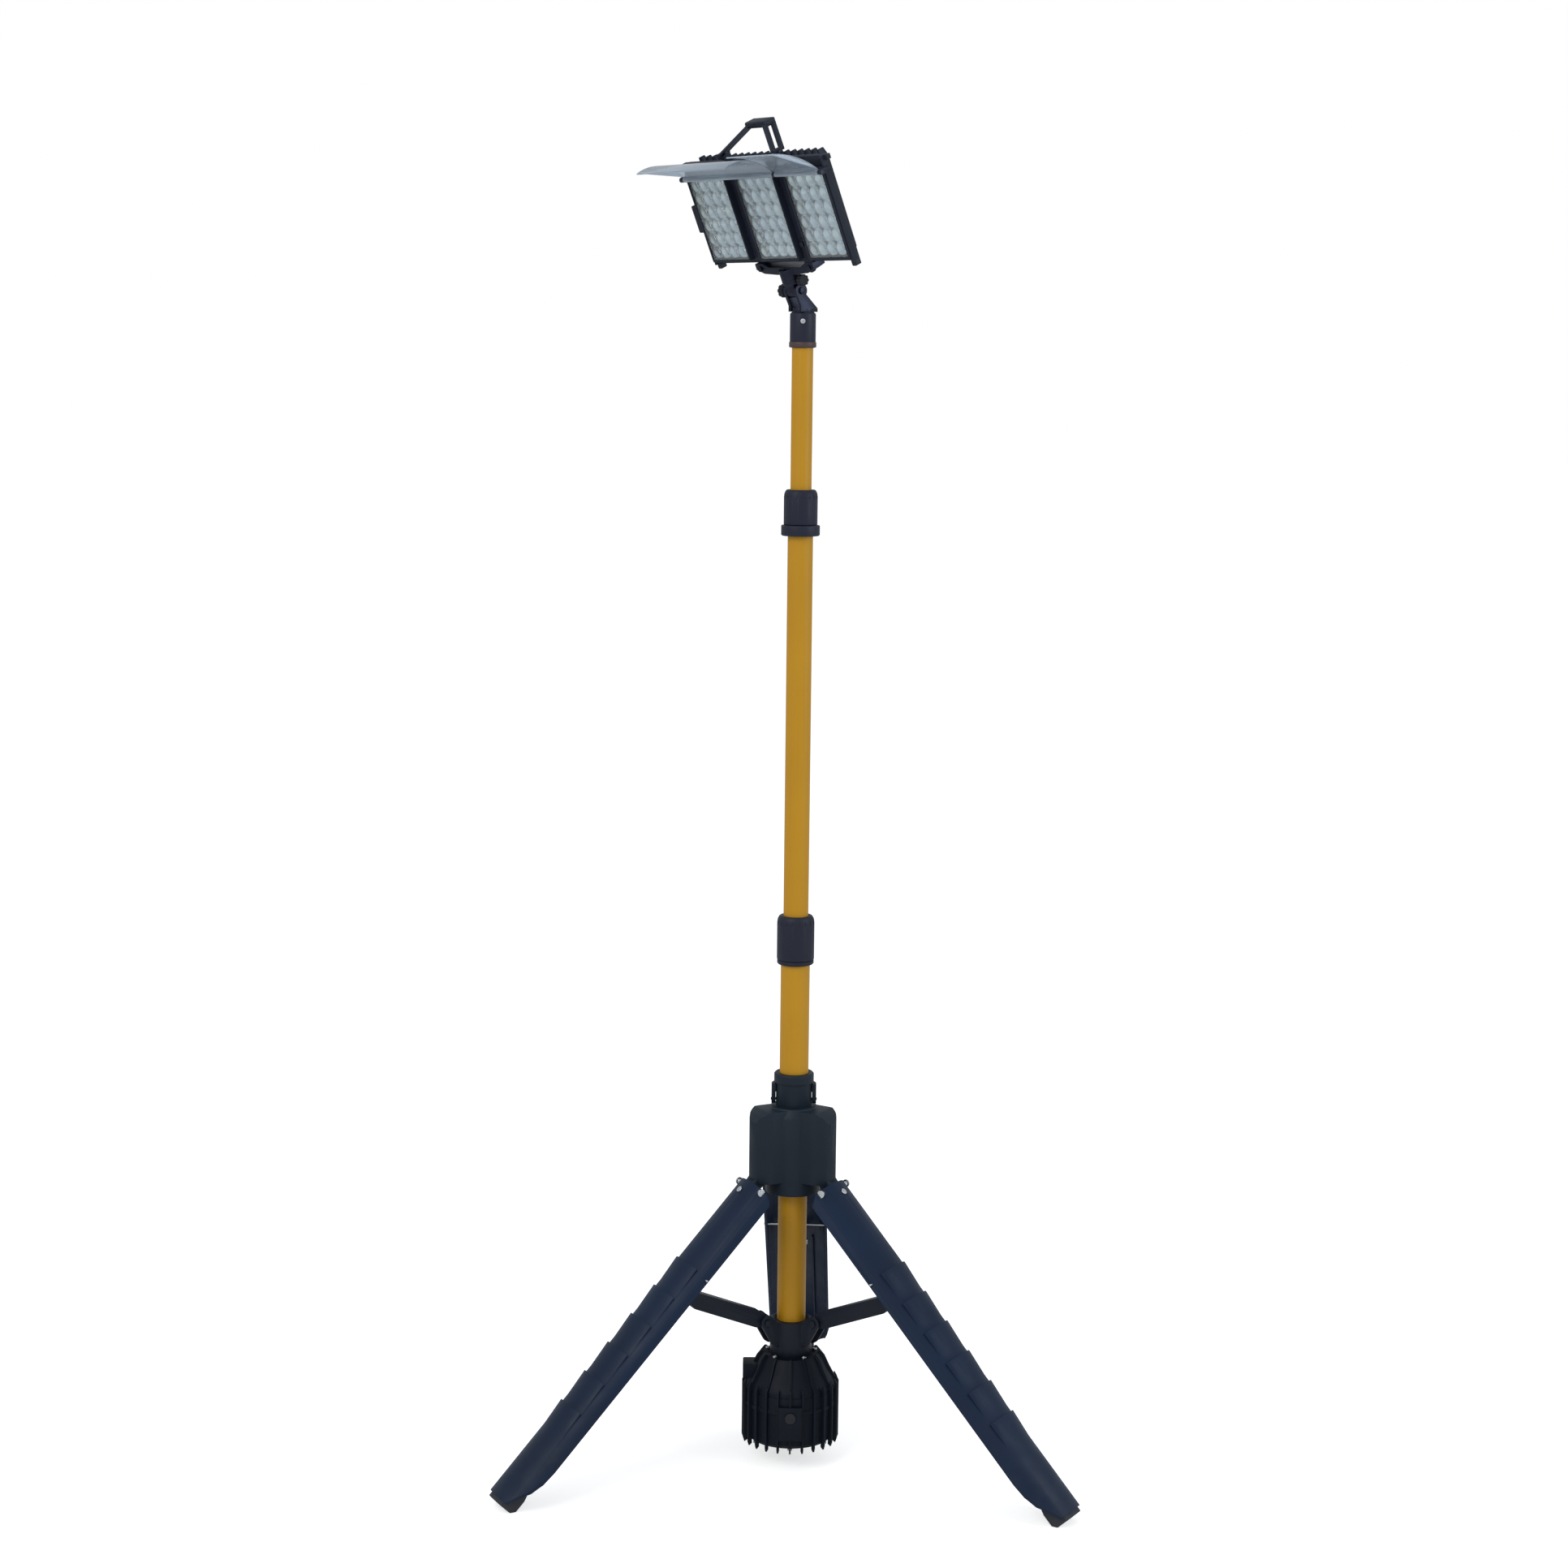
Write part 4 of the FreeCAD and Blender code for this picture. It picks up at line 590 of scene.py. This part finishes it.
def lens_plate(form):
    """Clear cover: one closed sheet whose front rises in a shallow dome over each cup."""
    front, back, rise, dome_r = 1.6 * MM, 4.0 * MM, 2.2 * MM, 9.4 * MM
    samples = 20                        # grid steps across one dome

    def stations(count, pitch, half):
        edge = count * pitch / 2
        inside = [-edge + pitch * k / samples for k in range(count * samples + 1)]
        return [-half, *inside, half]

    def off_centre(value, count, pitch):
        place = value / pitch + count / 2
        nearest = min(max(math.floor(place), 0), count - 1) + 0.5
        return (place - nearest) * pitch

    across = stations(LENS_COLUMNS, PITCH_X, LENS_HALF_WIDTH)
    upward = stations(LENS_ROWS, PITCH_Z, LENS_HALF_HEIGHT)
    grid = []
    for z in upward:
        row = []
        for x in across:
            dx, dz = off_centre(x, LENS_COLUMNS, PITCH_X), off_centre(z, LENS_ROWS, PITCH_Z)
            swell = max(0.0, 1.0 - (dx * dx + dz * dz) / dome_r ** 2)
            row.append(form.verts.new((x, front - rise * swell, z)))
        grid.append(row)
    for lower, upper in zip(grid, grid[1:]):
        for k in range(len(across) - 1):
            form.faces.new((lower[k], lower[k + 1], upper[k + 1], upper[k]))
    low_left, low_right, high_right, high_left = (
        form.verts.new((sx * LENS_HALF_WIDTH, back, sz * LENS_HALF_HEIGHT))
        for sx, sz in CORNER_SIGNS)
    form.faces.new((low_left, low_right, high_right, high_left))
    form.faces.new([*grid[0], low_right, low_left])
    form.faces.new([*reversed(grid[-1]), high_left, high_right])
    form.faces.new([*(row[0] for row in reversed(grid)), low_left, high_left])
    form.faces.new([*(row[-1] for row in grid), high_right, low_right])


def reflector_tray(form):
    """Bright tray behind the cover with one flared cup for each emitter."""
    rim_depth, tray_thick, inset, sides = 6.4 * MM, 1.2 * MM, 1.0 * MM, 20
    cup_profile = ((0.30, BOARD_FACE), (0.49, rim_depth), (0.47, rim_depth),
                   (0.27, BOARD_FACE - 0.1 * MM))       # (share of the pitch, depth)
    half_x, half_z = LENS_HALF_WIDTH - inset, LENS_HALF_HEIGHT - inset
    fore, rear = ([form.verts.new((sx * half_x, depth, sz * half_z)) for sx, sz in CORNER_SIGNS]
                  for depth in (BOARD_FACE, BOARD_FACE + tray_thick))
    form.faces.new(fore)
    form.faces.new(list(reversed(rear)))
    for k in range(4):
        ahead = (k + 1) % 4
        form.faces.new((fore[k], rear[k], rear[ahead], fore[ahead]))
    for centre in lens_centres():
        stack(form, [ring_points(PITCH_X * share, PITCH_Z * share, depth, centre, sides)
                     for share, depth in cup_profile])


def emitters(form):
    """One square emitter package with a small dome in each cup."""
    top, half, sides = 7.4 * MM, 1.8 * MM, 12
    dome_r, dome_rise, dome_turns = 1.5 * MM, 0.9 * MM, (0.0, 0.5, 1.0, 1.4)
    for centre in lens_centres():
        package = stack(form, [[Vector((centre[0] + sx * half, depth, centre[1] + sz * half))
                                for sx, sz in CORNER_SIGNS] for depth in (BOARD_FACE, top)])
        form.faces.new(list(reversed(package)))
        dome = stack(form, [ring_points(dome_r * math.cos(turn), dome_r * math.cos(turn),
                                        top - dome_rise * math.sin(turn), centre, sides)
                            for turn in dome_turns])
        form.faces.new(list(reversed(dome)))


def joined(name, meshes, body, slot, material=None):
    """Several meshes as one piece."""
    form = bmesh.new()
    for mesh in meshes:
        form.from_mesh(mesh)
    result = bpy.data.meshes.new(name)
    form.to_mesh(result)
    form.free()
    smooth(result, MODULE_ANGLE)
    return add_piece(name, result, body, slot, material)


def make_modules():
    """The covers, reflectors and emitters of the three lamp modules."""
    def across_head(name, build, slot, material=None):
        meshes = [module_mesh(build, MODULE_PITCH * k) for k in (-1, 0, 1)]
        return joined(name, meshes, "head", slot, material)

    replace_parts(across_head("lens_plates", lens_plate, "lens_clear"), "lens_covers")
    across_head("reflector_trays", reflector_tray, "sink_metal", REFLECTOR)
    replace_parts(across_head("emitter_domes", emitters, "board_laminate", PHOSPHOR), "led_boards")


# ---------------------------------------------------------------- camera, light and floor
SENSOR_WIDTH_MM, FOCAL_MM = 36.0, 67.17
CAMERA_PLACE = Vector((-0.0193, -4.1496, 1.6266))
CAMERA_PITCH, CAMERA_ROLL = math.radians(8.49), math.radians(0.64)
VIEW_DEPTH = 100.0
FLOOR_REACH = 40.0
FLOOR_GLOW = 0.62           # lifts the paper to white where the camera sees it
SKY_COLOR, SKY_STRENGTH = (0.93, 0.97, 1.0, 1.0), 0.60
WHITE = (1.0, 1.0, 1.0, 1.0)


def make_camera():
    """Camera level with the socket, looking down, with the slight roll of a hand-held shot."""
    data = bpy.data.cameras.new("camera")
    camera = bpy.data.objects.new("camera", data)
    bpy.context.scene.collection.objects.link(camera)
    data.sensor_width = SENSOR_WIDTH_MM
    data.lens = FOCAL_MM
    data.clip_end = VIEW_DEPTH
    forward = Vector((0, math.cos(CAMERA_PITCH), -math.sin(CAMERA_PITCH)))
    level_up = Vector((0, math.sin(CAMERA_PITCH), math.cos(CAMERA_PITCH)))
    level_right = Vector((1, 0, 0))
    right = level_right * math.cos(CAMERA_ROLL) + level_up * math.sin(CAMERA_ROLL)
    up = level_up * math.cos(CAMERA_ROLL) - level_right * math.sin(CAMERA_ROLL)
    camera.matrix_world = axes_matrix(right, up, -forward, CAMERA_PLACE)
    bpy.context.scene.camera = camera


def area_light(name, place, target, size, power, color):
    """A round soft light that faces a point."""
    data = bpy.data.lights.new(name, "AREA")
    data.shape = "DISK"
    data.size = size
    data.energy = power
    data.color = color
    light = bpy.data.objects.new(name, data)
    bpy.context.scene.collection.objects.link(light)
    light.location = place
    light.rotation_euler = (Vector(target) - Vector(place)).to_track_quat("-Z", "Y").to_euler()


def make_floor():
    """White paper floor, which also glows a little, but only where the camera sees it."""
    floor_mesh = bpy.data.meshes.new("floor")
    corners = [(sx * FLOOR_REACH, sy * FLOOR_REACH, 0) for sx, sy in CORNER_SIGNS]
    floor_mesh.from_pydata(corners, [], [(0, 1, 2, 3)])
    floor = bpy.data.objects.new("floor", floor_mesh)
    bpy.context.scene.collection.objects.link(floor)
    material = bpy.data.materials.new("floor_paper")
    nodes = Nodes(material)
    cloud = nodes.noise(scale=3.0)
    nodes.feed("Base Color", nodes.mix(cloud, (0.74, 0.74, 0.74), (0.77, 0.77, 0.77)))
    nodes.fix("Roughness", 0.9)
    nodes.fix("Specular IOR Level", 0.1)
    nodes.fix("Emission Color", WHITE)
    seen = nodes.make("ShaderNodeLightPath").outputs["Is Camera Ray"]
    nodes.feed("Emission Strength", nodes.remap(seen, 0.0, 1.0, 0.0, FLOOR_GLOW))
    floor_mesh.materials.append(material)


def make_world():
    """White all round to the camera, while the light it sends is softer and a little cool."""
    world = bpy.data.worlds.new("studio")
    bpy.context.scene.world = world
    world.use_nodes = True
    tree = world.node_tree
    soft_light = tree.nodes["Background"]
    soft_light.inputs["Color"].default_value = SKY_COLOR
    soft_light.inputs["Strength"].default_value = SKY_STRENGTH
    white_sweep = tree.nodes.new("ShaderNodeBackground")
    white_sweep.inputs["Color"].default_value = WHITE
    seen = tree.nodes.new("ShaderNodeLightPath")
    choice = tree.nodes.new("ShaderNodeMixShader")
    tree.links.new(seen.outputs["Is Camera Ray"], choice.inputs["Fac"])
    tree.links.new(soft_light.outputs["Background"], choice.inputs[1])
    tree.links.new(white_sweep.outputs["Background"], choice.inputs[2])
    tree.links.new(choice.outputs["Shader"], tree.nodes["World Output"].inputs["Surface"])


def make_studio():
    make_floor()
    make_world()
    area_light("key", place=(-2.4, -3.0, 3.8), target=(0, 0, 0.9),
               size=2.6, power=85.0, color=(1.0, 0.99, 0.97))
    area_light("side", place=(3.4, -1.4, 2.2), target=(0, 0, 0.8),
               size=2.2, power=45.0, color=(0.88, 0.94, 1.0))
    bpy.context.scene.view_settings.view_transform = "Standard"


# ---------------------------------------------------------------- build
# How each node is rounded: the width of the rounding in mm, and its segments.
REFINED = {
    "hub_body": (2.2, 3), "hub_lock_sleeve": (0.8, 2), "hub_release_lever": (1.0, 3),
    "lower_collar_base": (0.4, 2), "lower_twist_ring": (0.4, 2),
    "upper_collar_base": (0.4, 2), "upper_twist_ring": (0.4, 2), "mast_socket": (0.5, 2),
    "socket_band": (0.3, 2), "socket_screw": (0.4, 2), "neck_fork": (0.8, 3),
    "tilt_knuckle": (0.8, 3), "tilt_knob": (0.6, 2), "swivel_knob": (0.6, 2),
    "tilt_bolt": (0.4, 2), "head_yoke": (0.9, 3), "head_frame": (0.7, 2),
    "heat_sink": (0.35, 2), "carry_handle": (0.9, 3), "head_fasteners": (0.5, 2),
    "visor_wide": (0.5, 2), "visor_narrow": (0.5, 2),
    "pod_housing": (0.5, 2), "pod_cover": (0.6, 2), "pod_screws": (0.3, 2),
    "charge_inlet": (0.3, 2), "inlet_cap": (0.4, 2), "power_button": (0.5, 2),
    "mode_button": (0.4, 2), "dim_button": (0.4, 2), "lower_bracket": (0.6, 2),
    "strut_pivot_pins": (0.4, 2),
}
LEG_REFINED = {"leg_shell": (0.8, 3), "leg_foot": (1.2, 3),
               "leg_hardware": (0.4, 2), "strut": (0.7, 2)}
REFINED.update({f"{part}_{number}": rounding for number in (1, 2, 3)
                for part, rounding in LEG_REFINED.items()})

make_camera()
make_studio()
for node, obj in NODES.items():
    obj.data.materials.clear()
    obj.data.materials.append(MATERIALS[SLOT_OF[node]])
for node in ("lower_tube", "middle_tube", "top_tube"):
    make_tube(node)
make_coil("lower_coil_lead")
make_coil("upper_coil_lead")
for node, (width, segments) in REFINED.items():
    refine(node, width, segments)
for number in (1, 2, 3):
    make_leg_ribs(number)
make_modules()
